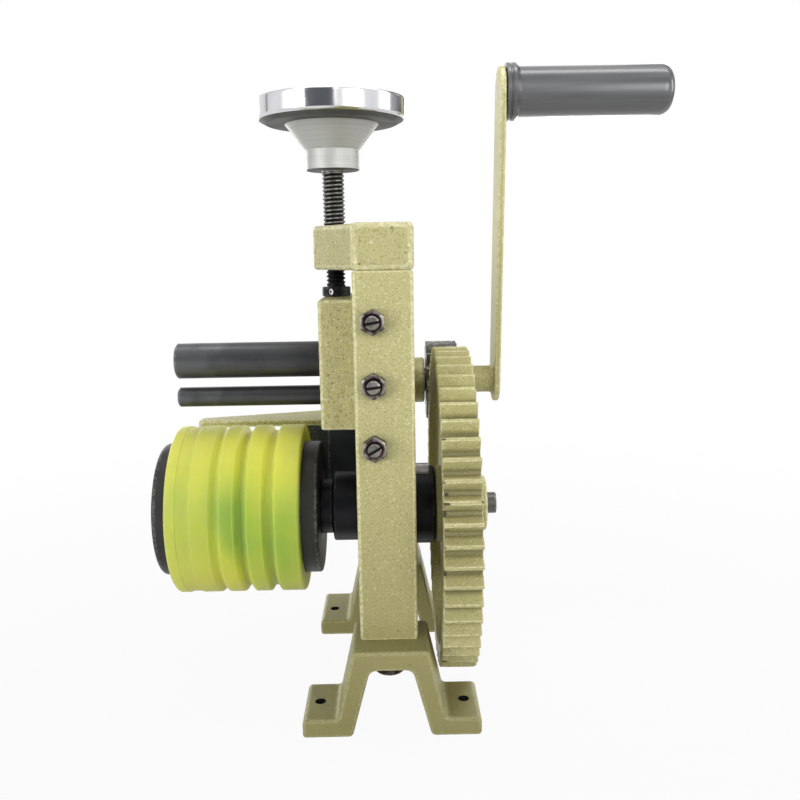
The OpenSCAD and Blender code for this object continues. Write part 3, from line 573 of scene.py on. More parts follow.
def socket_screw(axis, centre, tip, seat, top, shank, head, socket, sides=120):
    """Cap screw: shank from tip to seat, knurled head from seat to top and a hexagon socket in the head.

    The rows of one grid run from the tip's pole up the shank and the head and down the socket to its pole.
    The knurl takes a share of |sin| of the angle off the head, and the socket rows follow the hexagon.
    """
    turn = around(sides)
    up = np.sign(top - seat)
    lead, deep = 0.08 * shank, abs(top - seat) * 0.5
    rows = [
        (0, tip), (shank - lead, tip), (shank, tip + up * lead * 2), (shank, seat), (head - lead, seat),
        (head, seat + up * lead), (head, top - up * lead * 2), (head - lead * 2, top),
    ]
    radius, along = np.array(rows).T
    knurl = np.isin(radius, [head]) * 0.02 * head
    rings = radius[:, None] - knurl[:, None] * np.abs(np.sin(turn * 20))
    hole = hexagon(turn, socket) + np.zeros((3, 1)) + np.array([[0.03], [0.0], [0.0]]) * socket
    rings = np.vstack([rings, hole, np.zeros(sides)])
    down = [top, top - up * 0.03 * socket, top - up * deep, top - up * (deep + 0.2 * socket)]
    along = np.concatenate([along, down])
    points = about(axis, centre, along[:, None], rings, turn)
    return Shell(points, grid_faces(len(along), sides))


def threaded(axis, centre, radius, low, high, pitch, depth, sides=64):
    """Screw thread r(a, t) = radius - depth*w(t/pitch - a/(2 pi)), w from 0 on the crest to 1 in the root.

    The flanks between are straight. The thread fades out over one pitch at both ends.
    """
    turn = around(sides)
    along = np.linspace(low, high, max(int((high - low) / pitch * 16), 16))[:, None]
    phase = (along / pitch - turn / (2 * np.pi)) % 1
    flank = np.clip(np.abs(phase - 0.5) * 2.6 - 0.2, 0, 1)
    fade = np.clip(np.minimum(along - low, high - along) / pitch, 0, 1)
    rings = radius - depth * flank * fade
    points = about(axis, centre, along, rings, turn)
    faces = grid_faces(len(along), sides).tolist() + end_faces(len(along), sides)
    return Shell(points, faces, groove=flank * fade)


def involute(value):
    """The involute function tan a - a."""
    return np.tan(value) - value


def tooth_outline(teeth, module, start, flank=9, land=5):
    """Closed spur gear outline about the origin, with its corners worn round.

    At radius r a flank stands at the half angle (pi*m/4 - backlash/4)/p + inv(pressure) - inv(acos(b/r)),
    with pitch radius p and base radius b. A pass of (1, 2, 1)/4 along the outline wears the corners.
    """
    pitch = module * teeth / 2
    base, tip, root = pitch * math.cos(PRESSURE), pitch + module, pitch - 1.25 * module
    radius = np.linspace(max(root, base), tip, flank)
    width = (math.pi * module / 4 - BACKLASH / 4) / pitch + involute(PRESSURE)
    half = width - involute(np.arccos(np.clip(base / radius, -1, 1)))
    crown = np.linspace(-half[-1], half[-1], land + 2)[1:-1]
    gap = np.linspace(half[0], 2 * math.pi / teeth - half[0], land + 2)[1:-1]
    foot = half[:1]
    one_r = np.concatenate([[root], radius, np.full(land, tip), radius[::-1], [root], np.full(land, root)])
    one_a = np.concatenate([-foot, -half, crown, half[::-1], foot, gap])
    turn = (one_a[None] + start + np.arange(teeth)[:, None] * 2 * math.pi / teeth).ravel()
    outline = np.tile(one_r, teeth)[:, None] * np.stack([np.cos(turn), np.sin(turn)], 1)
    return (np.roll(outline, 1, 0) + 2 * outline + np.roll(outline, -1, 0)) / 4


def spur_gear(centre, outline, low, high, inner, edge, wave, rng, chips=0, rows=8):
    """Toothed wheel along X: circles of the inner profile, then the tooth outline along the face, then back.

    The inner profile is a list of (radius, depth below the face) from the bore outwards, the same on both
    faces. The outline is inset along its normal by edge*(1 - sin q) near the ends, and moved by a sum of
    sines for the uneven casting. Chips are round dents on the tooth ends: the largest of the values
    depth*exp(-(d/size)^2) at a point is taken off along the normal.
    """
    turn = np.arctan2(outline[:, 1], outline[:, 0])
    tangent = np.roll(outline, -1, 0) - np.roll(outline, 1, 0)
    normal = np.stack([tangent[:, 1], -tangent[:, 0]], 1) / norm(tangent)
    q = np.linspace(0, np.pi / 2, 4)
    end = edge * (1 - np.cos(q))
    place = np.concatenate([low + end, np.linspace(low, high, rows + 2)[1:-1], high - end[::-1]])
    inset = np.concatenate([edge * (1 - np.sin(q)), np.zeros(rows), edge * (1 - np.sin(q[::-1]))])
    across = place[:, None] + 0 * turn
    waves = zip(rng.integers(7, 160, 9), rng.uniform(-900, 900, 9), rng.uniform(0, 6, 9))
    ripple = sum(np.sin(count * turn + across * lean + phase) for count, lean, phase in waves) / 3
    sunk = inset[:, None] + wave * np.maximum(1 + ripple, 0)
    face = outline[None] - normal[None] * sunk[..., None]
    chip = np.zeros(across.shape)
    if chips:
        at = rng.integers(0, len(outline), chips)
        spot = np.where(rng.random(chips) < 0.75, low, high) + rng.normal(0, CHIP_SPREAD, chips)
        size = rng.uniform(*CHIP_SIZES, chips)[:, None, None]
        gap = np.linalg.norm(outline[None] - outline[at][:, None], axis=-1)[:, None]
        dent = np.exp(-((gap ** 2 + (across[None] - spot[:, None, None]) ** 2) / size ** 2))
        chip = dent.max(0)
        face = face - normal[None] * (CHIP_DEPTH * chip)[..., None]
    ring = np.stack([np.cos(turn), np.sin(turn)], 1)
    inner = np.asarray(inner, float)
    first = inner[:, :1, None] * ring[None]
    flat = np.concatenate([first, face, first[::-1]])
    near, far = low + inner[:, 1:], high - inner[::-1, 1:]
    along = np.concatenate([near + 0 * turn, across, far + 0 * turn])
    points = on_axis(0, along, centre[0] + flat[..., 0], centre[1] + flat[..., 1])
    none = np.zeros((len(inner), len(turn)))
    step = np.roll(outline, -1, 0) - outline
    heading = np.arctan2(step[:, 1], step[:, 0])
    bend = (heading - np.roll(heading, 1) + np.pi) % (2 * np.pi) - np.pi
    corner = np.clip(bend / 0.3, 0, 1)[None] + 0 * across
    wear = np.concatenate([none, np.maximum(corner, (inset > edge * 0.02)[:, None]), none])
    radius = np.linalg.norm(outline, axis=1)
    deep = (radius.max() - radius) / (radius.max() - radius.min())
    groove = np.concatenate([none, deep[None] + 0 * across, none])
    values = {"wear": wear, "chip": np.concatenate([none, chip, none]), "groove": groove}
    return Shell(points, grid_faces(len(along), len(turn), True), **values)


def mesh_of(name, shell):
    """Mesh of a shell, with doubles merged and faces turned outwards."""
    mesh = bpy.data.meshes.new(name)
    mesh.from_pydata(shell.points, [], shell.faces)
    for key, value in shell.values.items():
        mesh.attributes.new(key, "FLOAT", "POINT").data.foreach_set("value", value.astype(np.float32))
    mesh.polygons.foreach_set("material_index", shell.finish)
    work = bmesh.new()
    work.from_mesh(mesh)
    bmesh.ops.remove_doubles(work, verts=work.verts, dist=1e-6)
    bmesh.ops.recalc_face_normals(work, faces=work.faces)
    work.to_mesh(mesh)
    work.free()
    return mesh


def raw_object(name, shell):
    """Object with the mesh of a shell, at the origin."""
    made = bpy.data.objects.new(name, mesh_of(name, shell))
    bpy.context.scene.collection.objects.link(made)
    return made


def combine(target, tools, operation):
    """Cuts shells out of an object, or adds them to it, one exact boolean for each."""
    for tool in tools:
        other = raw_object("tool", tool)
        for finish in target.data.materials:
            other.data.materials.append(finish)
        step = target.modifiers.new(operation, "BOOLEAN")
        step.operation = operation
        step.solver = "EXACT"
        step.object = other
        graph = bpy.context.evaluated_depsgraph_get()
        result = bpy.data.meshes.new_from_object(target.evaluated_get(graph))
        target.modifiers.clear()
        old, target.data = target.data, result
        bpy.data.meshes.remove(old)
        spare = other.data
        bpy.data.objects.remove(other)
        bpy.data.meshes.remove(spare)


def piece(name, shell, body, finishes, nodes=(), add=(), cut=(), sharp=38, even=True):
    """Finished piece: joined, drilled, shaded and painted, and riding on a body in place of frame nodes."""
    made = raw_object(name, shell)
    for finish in finishes:
        made.data.materials.append(finish())
    combine(made, add, "UNION")
    combine(made, cut, "DIFFERENCE")
    made.data.name = name
    made.data.shade_smooth()
    made.data.set_sharp_from_angle(angle=math.radians(sharp))
    if even:
        made.modifiers.new("even_shading", "WEIGHTED_NORMAL").keep_sharp = True
    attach(made, body)
    if nodes:
        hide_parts(*nodes)
    return made


class Nodes:
    """Short calls for the shader nodes of one material."""

    def __init__(self, name):
        self.material = bpy.data.materials.new(name)
        self.material.use_nodes = True
        self.tree = self.material.node_tree
        self.shader = self.tree.nodes["Principled BSDF"]
        self.object = self.add("ShaderNodeTexCoord").outputs["Object"]

    def feed(self, socket, value):
        """Links a socket into another, or sets the other's value."""
        if isinstance(value, bpy.types.NodeSocket):
            self.tree.links.new(value, socket)
        else:
            socket.default_value = value

    def add(self, kind, inputs=None, **options):
        """New node with its options, and its inputs by name or number."""
        made = self.tree.nodes.new(kind)
        for key, value in options.items():
            setattr(made, key, value)
        for key, value in (inputs or {}).items():
            self.feed(made.inputs[key], value)
        return made

    def noise(self, scale, detail=2.0, stretch=(1, 1, 1), roughness=0.5):
        """Noise on object coordinates, stretched along the axes."""
        where = self.add("ShaderNodeMapping", {"Vector": self.object, "Scale": stretch}).outputs[0]
        inputs = {"Vector": where, "Scale": scale, "Detail": detail, "Roughness": roughness}
        return self.add("ShaderNodeTexNoise", inputs).outputs[0]

    def spots(self, scale, random=1.0):
        """Distance to the nearest of a cloud of points."""
        inputs = {"Vector": self.object, "Scale": scale, "Randomness": random}
        return self.add("ShaderNodeTexVoronoi", inputs).outputs["Distance"]

    def value(self, name):
        """Per-point value of the mesh."""
        return self.add("ShaderNodeAttribute", attribute_name=name).outputs["Fac"]

    def place(self):
        """The three object coordinates."""
        return self.add("ShaderNodeSeparateXYZ", {0: self.object}).outputs

    def rings(self, scale, detail=3.0):
        """Noise along the length of the turned profile, so that it runs round the piece."""
        inputs = {"W": self.value("run"), "Scale": scale, "Detail": detail}
        return self.add("ShaderNodeTexNoise", inputs, noise_dimensions="1D").outputs[0]

    def calc(self, operation, first, second=0.0, third=0.0):
        """Result of a sum on up to three values."""
        return self.add("ShaderNodeMath", {0: first, 1: second, 2: third}, operation=operation).outputs[0]

    def remap(self, value, low, high, to_low=0.0, to_high=1.0):
        """Value carried from one range to another, and held at its ends."""
        inputs = {"Value": value, "From Min": low, "From Max": high, "To Min": to_low, "To Max": to_high}
        return self.add("ShaderNodeMapRange", inputs).outputs[0]

    def mix(self, share, first, second):
        """Colour between two."""
        inputs = {0: share}
        for key, value in ((6, first), (7, second)):
            inputs[key] = value if isinstance(value, bpy.types.NodeSocket) else (*value, 1)
        return self.add("ShaderNodeMix", inputs, data_type="RGBA").outputs[2]

    def bump(self, height, strength, distance):
        """Bumps the shader's normal."""
        made = self.add("ShaderNodeBump", {"Strength": strength, "Distance": distance, "Height": height})
        self.feed(self.shader.inputs["Normal"], made.outputs[0])

    def done(self, **inputs):
        """Sets the shader's sockets, named with underscores, and returns the material."""
        for key, value in inputs.items():
            self.feed(self.shader.inputs[key.replace("_", " ")], value)
        return self.material


def scaled(colour, share):
    """Colour made darker or paler by a factor."""
    return [c * share for c in colour]


def kept(build):
    """Makes a finish once and returns the same material after that."""

    def finish():
        return bpy.data.materials.get(build.__name__) or build()

    return finish


def painted(name, contrast, depth, bottom_shade=0.0, fine=1.0, rub=0.8):
    """Hammered paint: fine grain of two tones, pale flecks, pits, dark chips, pale edges that are partly
    worn paint and partly a painted highlight, and painted shade in tooth gaps and towards the bottom.
    """
    nodes, tone = Nodes(name), colours()
    grain, dimples = nodes.noise(1600 * fine, 2.0), nodes.noise(800 * fine, 1.0)
    height = nodes.calc("MULTIPLY_ADD", grain, 0.5, nodes.calc("MULTIPLY", dimples, 0.5))
    colour = nodes.mix(nodes.remap(height, 0.33, 0.46, 1 - contrast, 1.0), tone.paint_deep, tone.paint)
    sparse = nodes.remap(nodes.noise(230, 2.0), 0.3, 0.55, 0.0, contrast)
    flecks = nodes.calc("MULTIPLY", nodes.remap(nodes.noise(950 * fine, 3.0), 0.55, 0.66), sparse)
    colour = nodes.mix(flecks, colour, tone.paint_pale)
    # Painted shade: the colour darkens towards the deep paint below 0.17 m, most at the bottom.
    colour = nodes.mix(nodes.remap(nodes.place()[2], 0.04, 0.17, bottom_shade, 0.0), colour, tone.paint_deep)
    drift = nodes.remap(nodes.noise(26, 3.0), 0.35, 0.7, 0.0, 0.3)
    colour = nodes.mix(drift, colour, scaled(tone.paint, 0.86))
    patches = nodes.remap(nodes.noise(70), 0.54, 0.6)
    pits = nodes.calc("MULTIPLY", nodes.remap(nodes.spots(170), 0.13, 0.05), patches)
    colour = nodes.mix(nodes.calc("MULTIPLY", pits, contrast), colour, (0.06, 0.05, 0.02))
    # Painted shade: the deeper a point lies in a tooth gap, the darker the paint.
    colour = nodes.mix(nodes.remap(nodes.value("groove"), 0.6, 1.0, 0.0, 0.65), colour, (0.09, 0.08, 0.03))
    # Pale rounded edges: partly worn paint, partly a painted highlight.
    rubbed = nodes.remap(nodes.noise(420, 4.0), 0.4, 0.62, rub / 4, rub)
    worn = nodes.calc("MULTIPLY", nodes.remap(nodes.value("wear"), 0.7, 1.0), rubbed)
    colour = nodes.mix(worn, colour, tone.paint_pale)
    colour = nodes.mix(nodes.remap(nodes.value("chip"), 0.4, 0.7, 0.0, 0.9), colour, (0.03, 0.026, 0.015))
    nodes.bump(nodes.calc("ADD", height, flecks), depth, 0.0005)
    gloss = nodes.remap(grain, 0.35, 0.65, 0.38, 0.58)
    return nodes.done(Base_Color=colour, Metallic=0.06, Roughness=gloss, Specular_IOR_Level=0.35)


@kept
def hammered_paint():
    """Gold-green hammered paint on the smooth castings, with painted shade towards the bottom."""
    return painted("hammered_paint", 0.72, 0.35, 0.45)


@kept
def gear_paint():
    """The same paint with a smoother skin and stronger pale edges, partly a painted highlight,
    on the gear and its hub.
    """
    return painted("gear_paint", 0.6, 0.25, 0.0, 0.8, 0.95)


@kept
def foot_paint():
    """The same paint on the feet, with deeper painted shade towards the floor and fainter pale edges."""
    return painted("foot_paint", 0.72, 0.35, 0.75, 1.0, 0.25)


@kept
def rough_paint():
    """The same paint on the rough castings, with more contrast and deeper dimples."""
    return painted("rough_paint", 1.0, 0.9, 0.0, 0.7)


def dark_metal(name, base, streak, gloss, ring, fade=None):
    """Dark metal: soft clouds and long streaks between two tones, pale edges that are partly rubbed metal
    and partly a painted highlight, and faint turning rings.

    With a fade, two places along X, the colour goes from paler at the first to darker at the second.
    The fade is painted light and shade.
    """
    nodes = Nodes(name)
    cloud, line = nodes.noise(60, 3.0), nodes.noise(700, 2.0, (0.05, 1, 1))
    shade = nodes.calc("ADD", nodes.calc("MULTIPLY", cloud, 1 - streak), nodes.calc("MULTIPLY", line, streak))
    colour = nodes.mix(nodes.remap(shade, 0.35, 0.65), scaled(base, 0.78), scaled(base, 1.25))
    # Painted light and shade: paler towards the first place, darker towards the second.
    if fade:
        uneven = nodes.remap(cloud, 0.3, 0.7, -0.3, 0.3)
        share = nodes.calc("ADD", nodes.remap(nodes.place()[0], *fade), uneven)
        colour = nodes.mix(nodes.remap(share, 0.0, 0.3), scaled(base, 1.7), colour)
        colour = nodes.mix(nodes.remap(share, 0.5, 1.0, 0.0, 0.8), colour, scaled(base, 0.45))
    patches = nodes.remap(nodes.noise(500, 3.0), 0.42, 0.64, 0.0, 0.55)
    # Pale edges: partly rubbed metal, partly a painted highlight.
    rubbed = nodes.calc("MULTIPLY", nodes.value("wear"), patches)
    colour = nodes.mix(rubbed, colour, [min(c * 4 + 0.05, 0.6) for c in base])
    nodes.bump(nodes.calc("ADD", nodes.rings(3600), nodes.noise(1700, 2.0)), ring, 0.0002)
    rough = nodes.remap(cloud, 0.3, 0.7, gloss, gloss + 0.1)
    return nodes.done(Base_Color=colour, Metallic=0.6, Roughness=rough)


@kept
def blackened_steel():
    """Blackened machined steel."""
    return dark_metal("blackened_steel", colours().black, 0.2, 0.36, 0.06)


@kept
def slate_steel():
    """Slate skin of the feed table bracket."""
    return dark_metal("slate_steel", colours().slate, 0.1, 0.5, 0.08)


@kept
def charcoal_core():
    """Charcoal skin of the drum core."""
    return dark_metal("charcoal_core", colours().core, 0.1, 0.46, 0.08)


@kept
def mandrel_steel():
    """Dark ground steel of the mandrels, with painted light at the free end and painted shade by the housing."""
    fade = [float(corner[0]) for corner in span("big_mandrel")]
    return dark_metal("mandrel_steel", colours().mandrel, 0.3, 0.36, 0.06, (fade[0], POST_X[0]))


@kept
def dark_steel():
    """Dull dark steel of the pinion and the shaft end."""
    return dark_metal("dark_steel", colours().dull, 0.3, 0.3, 0.08)


@kept
def thread_steel():
    """Grey steel of the spindle thread, rubbed in places, near black towards the bottom of the thread."""
    nodes = Nodes("thread_steel")
    rub = nodes.noise(500, 3.0)
    colour = nodes.mix(nodes.remap(rub, 0.35, 0.65), (0.16, 0.155, 0.15), (0.34, 0.33, 0.32))
    # Darker towards the bottom of the thread.
    colour = nodes.mix(nodes.remap(nodes.value("groove"), 0.25, 0.75), colour, (0.012, 0.012, 0.013))
    nodes.bump(nodes.noise(2400, 2.0), 0.1, 0.0002)
    return nodes.done(Base_Color=colour, Metallic=0.85, Roughness=nodes.remap(rub, 0.3, 0.7, 0.3, 0.45))


@kept
def machined_steel():
    """Plain machined steel with fine lines and a few dull stains."""
    nodes = Nodes("machined_steel")
    stain = nodes.noise(160, 3.0)
    colour = nodes.mix(nodes.remap(stain, 0.35, 0.65), (0.14, 0.128, 0.122), (0.3, 0.275, 0.26))
    nodes.bump(nodes.noise(2200, 2.0, (0.2, 1, 1)), 0.1, 0.0002)
    return nodes.done(Base_Color=colour, Metallic=1.0, Roughness=nodes.remap(stain, 0.3, 0.7, 0.28, 0.42))


@kept
def polished_metal():
    """Polished metal with hair-fine rings and faint finger smears."""
    nodes, tone = Nodes("polished_metal"), colours()
    smear = nodes.noise(85, 3.0)
    colour = nodes.mix(nodes.remap(smear, 0.4, 0.7), tone.bright, scaled(tone.bright, 0.9))
    nodes.bump(nodes.rings(4200), 0.01, 0.0001)
    return nodes.done(Base_Color=colour, Metallic=1.0, Roughness=nodes.remap(smear, 0.35, 0.7, 0.12, 0.18))


@kept
def turned_metal():
    """Satin turned metal: close rings from the tool all the way round."""
    nodes, tone = Nodes("turned_metal"), colours()
    rings = nodes.rings(3800, 2.0)
    colour = nodes.mix(nodes.remap(rings, 0.35, 0.65), scaled(tone.satin, 0.5), tone.satin)
    nodes.bump(rings, 0.35, 0.0003)
    gloss = nodes.remap(nodes.noise(90, 2.0), 0.3, 0.7, 0.45, 0.55)
    return nodes.done(Base_Color=colour, Metallic=0.5, Roughness=gloss)


@kept
def cast_metal():
    """Dark grey under the hand wheel as a painted reflection, with a fine sandy grain and oil stains."""
    nodes, tone = Nodes("cast_metal"), colours()
    sand, stain = nodes.noise(1900, 3.0), nodes.noise(75, 3.0)
    colour = nodes.mix(nodes.remap(sand, 0.35, 0.65), scaled(tone.cast, 0.7), scaled(tone.cast, 1.3))
    colour = nodes.mix(nodes.remap(stain, 0.5, 0.7, 0.0, 0.5), colour, scaled(tone.cast, 0.6))
    nodes.bump(sand, 0.3, 0.0003)
    return nodes.done(Base_Color=colour, Metallic=0.5, Roughness=nodes.remap(stain, 0.3, 0.7, 0.5, 0.62))


@kept
def bearing_bronze():
    """Oiled bearing bronze with darker stains and turning marks."""
    nodes, tone = Nodes("bearing_bronze"), colours()
    stain = nodes.noise(160, 4.0)
    colour = nodes.mix(nodes.remap(stain, 0.35, 0.65), scaled(tone.bronze, 0.5), tone.bronze)
    nodes.bump(nodes.rings(3000), 0.15, 0.0002)
    return nodes.done(Base_Color=colour, Metallic=1.0, Roughness=nodes.remap(stain, 0.3, 0.7, 0.25, 0.42))


@kept
def soft_polyurethane():
    """Cloudy polyurethane: lime at the free end, yellow with a painted green reflection at mid height,
    a brighter yellow at the top as painted light, and faint lathe rings.
    """
    nodes, tone = Nodes("soft_polyurethane"), colours()
    low, high = span("drum_sleeve")
    where = nodes.place()
    middle, half = float(low[2] + high[2]) / 2, float(high[2] - low[2]) / 2
    # Painted reflection: the share of green is largest at mid height and falls off above and below.
    off = nodes.calc("ABSOLUTE", nodes.calc("SUBTRACT", where[2], middle))
    share = nodes.remap(off, half * 0.15, half * 0.95, 0.85, 0.15)
    cloud = nodes.noise(13, 1.0, (2.6, 1, 1))
    share = nodes.calc("ADD", share, nodes.remap(cloud, 0.38, 0.62, -0.25, 0.25))
    colour = nodes.mix(nodes.remap(share, 0.0, 1.0), tone.sleeve, tone.sleeve_green)
    pale = nodes.remap(where[0], float(low[0]), float(low[0]) + 0.04, 0.4, 0.0)
    colour = nodes.mix(pale, colour, tone.sleeve_lime)
    # Painted light: a brighter yellow over the upper part.
    above = nodes.remap(where[2], middle + half * 0.3, middle + half, 0.0, 0.6)
    colour = nodes.mix(above, colour, (1.0, 0.95, 0.16))
    haze = nodes.calc("MULTIPLY", nodes.value("wear"), 0.12)
    colour = nodes.mix(haze, colour, tone.sleeve_lime)
    nodes.bump(nodes.rings(2400), 0.03, 0.0003)
    gloss = nodes.remap(nodes.noise(150, 3.0), 0.3, 0.7, 0.38, 0.5)
    return nodes.done(
        Base_Color=colour, Roughness=gloss, Subsurface_Weight=1.0, Subsurface_Radius=(1.0, 0.95, 0.35),
        Subsurface_Scale=0.022, Specular_IOR_Level=0.14,
    )


@kept
def grip_plastic():
    """Moulded grey plastic: fine grain with long faint flow lines and a slight sheen."""
    nodes, tone = Nodes("grip_plastic"), colours()
    flow, grain = nodes.noise(260, 3.0, (0.05, 1, 1)), nodes.noise(2600, 2.0)
    colour = nodes.mix(nodes.remap(flow, 0.35, 0.65), scaled(tone.grip, 0.85), scaled(tone.grip, 1.1))
    nodes.bump(grain, 0.1, 0.0002)
    return nodes.done(
        Base_Color=colour, Metallic=0.3, Roughness=nodes.remap(flow, 0.3, 0.7, 0.3, 0.4), Coat_Weight=0.55,
        Coat_Roughness=0.2,
    )


@kept
def black_oxide():
    """Brown-black oxide on nuts and screws, rubbed bright in places."""
    nodes, tone = Nodes("black_oxide"), colours()
    rub = nodes.noise(420, 4.0)
    colour = nodes.mix(nodes.remap(rub, 0.4, 0.6), scaled(tone.oxide, 0.6), scaled(tone.oxide, 1.3))
    colour = nodes.mix(nodes.remap(rub, 0.6, 0.72, 0.0, 0.5), colour, (0.3, 0.28, 0.27))
    # Pale edges: partly rubbed oxide, partly a painted highlight.
    worn = nodes.calc("MULTIPLY", nodes.value("wear"), nodes.remap(rub, 0.35, 0.6, 0.1, 0.7))
    colour = nodes.mix(worn, colour, (0.36, 0.33, 0.3))
    nodes.bump(nodes.noise(1500, 2.0), 0.15, 0.0002)
    return nodes.done(Base_Color=colour, Metallic=1.0, Roughness=nodes.remap(rub, 0.3, 0.7, 0.28, 0.42))


SLOT_FINISH = {
    "paint": hammered_paint,
    "black_steel": blackened_steel,
    "steel": machined_steel,
    "polished": turned_metal,
    "bronze": bearing_bronze,
    "soft_sleeve": soft_polyurethane,
    "grip": grip_plastic,
}


class MakeStage(bpy.types.Operator):
    """Pale floor, white surroundings, soft lamps, dark flags and the camera"""

    bl_idname = "machine.stage"
    bl_label = "Stage"

    def execute(self, context):
        studio = context.scene.machine_studio
        context.scene.view_settings.view_transform = "Standard"
        self.surround(context.scene, studio)
        self.floor()
        wheel = np.append(pivot("spindle_turn")[:2], span("hand_wheel")[0][2])
        for name, place, target, size, power, spread in (
            ("key_lamp", (-0.80, -0.72, 0.50), (-0.02, -0.03, 0.43), (0.9, 0.9), studio.key, 48),
            ("front_lamp", (-0.15, -1.10, 0.85), (0.0, -0.03, 0.40), (0.9, 0.9), studio.front, 48),
            ("fill_lamp", (0.65, -0.90, 0.45), (0.06, 0.0, 0.36), (0.5, 0.5), studio.fill, 56),
            ("strip_lamp", (0.1, 0.06, 1.05), (0.1, 0.06, 0.2), (1.0, 0.2), studio.top, 180),
            ("right_lamp", (1.35, 0.1, 0.6), (0.05, 0.02, 0.2), (0.6, 0.6), studio.side, 180),
            ("right_back_lamp", (0.6, 1.2, 0.42), (0.0, 0.0, 0.2), (0.6, 0.6), studio.back, 180),
            ("left_back_lamp", (-0.7, 1.1, 0.42), (0.0, 0.0, 0.2), (0.6, 0.6), studio.back, 180),
        ):
            self.lamp(name, np.array(place), np.array(target), size, power, math.radians(spread))
        for name, start, end, shade in (
            ("front_flag", -36, 8, (124, 127, 137)), ("side_flag", 98, 122, (164, 165, 169)),
            ("far_flag", 130, 152, (70, 72, 78)), ("thin_flag", -108, -104, (90, 91, 96)),
        ):
            self.flag(name, wheel, math.radians(start), math.radians(end), linear(*shade))
        self.camera(context.scene, studio)
        return {"FINISHED"}

    @staticmethod
    def surround(scene, studio):
        """World that is white to the camera, to gloss and to glass, and gives an even light to the rest."""
        world = bpy.data.worlds.new("studio_white")
        world.use_nodes = True
        scene.world = world
        tree = world.node_tree
        back = tree.nodes["Background"]
        back.inputs["Color"].default_value = (1, 1, 1, 1)
        rays = tree.nodes.new("ShaderNodeLightPath")
        first, second, strength = (tree.nodes.new("ShaderNodeMath") for _ in range(3))
        first.operation = second.operation = "MAXIMUM"
        strength.operation = "MULTIPLY_ADD"
        strength.inputs[1].default_value = 1.0 - studio.ambient
        strength.inputs[2].default_value = studio.ambient
        tree.links.new(rays.outputs["Is Camera Ray"], first.inputs[0])
        tree.links.new(rays.outputs["Is Glossy Ray"], first.inputs[1])
        tree.links.new(first.outputs[0], second.inputs[0])
        tree.links.new(rays.outputs["Is Transmission Ray"], second.inputs[1])
        tree.links.new(second.outputs[0], strength.inputs[0])
        tree.links.new(strength.outputs[0], back.inputs["Strength"])

    @staticmethod
    def floor():
        """Round pale floor of rings r_i about the origin, which turns into the white surroundings far out."""
        radius = np.array([0.0, 0.3, 0.8, 2.0, 6.0])[:, None]
        points = about(2, (0, 0), 0 * radius, radius, around(64))
        made = raw_object("studio_floor", Shell(points, grid_faces(5, 64)))
        nodes = Nodes("pale_floor")
        nodes.done(Base_Color=(0.6, 0.6, 0.6, 1), Roughness=0.9, Specular_IOR_Level=0.0)
        rays = nodes.add("ShaderNodeLightPath")
        seen = nodes.calc("MAXIMUM", rays.outputs["Is Camera Ray"], rays.outputs["Is Glossy Ray"])
        seen = nodes.calc("MAXIMUM", seen, rays.outputs["Is Transmission Ray"])
        away = nodes.add("ShaderNodeVectorMath", {0: nodes.object}, operation="LENGTH").outputs["Value"]
        share = nodes.calc("MULTIPLY", seen, nodes.remap(away, 0.25, 0.8, 0.94, 1.0))
        glow = nodes.add("ShaderNodeEmission", {"Strength": 1.0})
        both = nodes.add("ShaderNodeMixShader", {0: share, 1: nodes.shader.outputs[0], 2: glow.outputs[0]})
        nodes.feed(nodes.tree.nodes["Material Output"].inputs["Surface"], both.outputs[0])
        made.data.materials.append(nodes.material)
        made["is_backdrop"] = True

    @staticmethod
    def lamp(name, place, target, size, power, spread):
        """Rectangular soft lamp that faces a point."""
        data = bpy.data.lights.new(name, "AREA")
        data.shape, data.energy, data.spread = "RECTANGLE", power, spread
        data.size, data.size_y = size
        made = bpy.data.objects.new(name, data)
        bpy.context.scene.collection.objects.link(made)
        back = (place - target) / np.linalg.norm(place - target)
        side = np.cross((0, 1, 0) if abs(back[2]) > 0.95 else (0, 0, 1), back)
        side = side / np.linalg.norm(side)
        turn = np.eye(4)
        turn[:3, 0], turn[:3, 1], turn[:3, 2], turn[:3, 3] = side, np.cross(back, side), back, place
        made.matrix_world = Matrix(turn.tolist())

    @staticmethod
    def flag(name, centre, start, end, shade):
        """Dark curved flag that only reflections show: part of a cylinder about a vertical axis."""
        across, up = np.meshgrid(np.linspace(start, end, 24), np.linspace(0.15, 1.1, 6))
        away = 0.95
        points = np.stack([centre[0] + away * np.sin(across), centre[1] - away * np.cos(across), up], -1)
        rows, columns = across.shape
        faces = grid_faces(rows, columns).reshape(rows - 1, columns, 4)[:, :-1].reshape(-1, 4)
        made = raw_object(name, Shell(points, faces))
        nodes = Nodes(name)
        nodes.done(Base_Color=(*shade, 1), Roughness=1.0, Specular_IOR_Level=0.0)
        made.data.materials.append(nodes.material)
        made.visible_camera = made.visible_diffuse = made.visible_shadow = made.visible_transmission = False
        made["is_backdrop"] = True

    @staticmethod
    def camera(scene, studio):
        """Camera turned by yaw, then pitch, then roll, at its place."""
        turns = (studio.yaw, studio.pitch, studio.roll)
        cy, sy, cp, sp, cr, sr = (f(a) for a in turns for f in (math.cos, math.sin))
        right, forward, up = np.array([cy, -sy, 0]), np.array([sy, cy, 0]), np.array([0, 0, 1.0])
        ahead, above = forward * cp - up * sp, up * cp + forward * sp
        turn = np.eye(4)
        turn[:3, 0], turn[:3, 1] = right * cr + above * sr, above * cr - right * sr
        turn[:3, 2], turn[:3, 3] = -ahead, studio.place
        data = bpy.data.cameras.new("photo_camera")
        data.sensor_width, data.lens, data.clip_start, data.clip_end = 36.0, studio.lens, 0.01, 50.0
        made = bpy.data.objects.new("photo_camera", data)
        scene.collection.objects.link(made)
        made.matrix_world = Matrix(turn.tolist())
        scene.camera = made


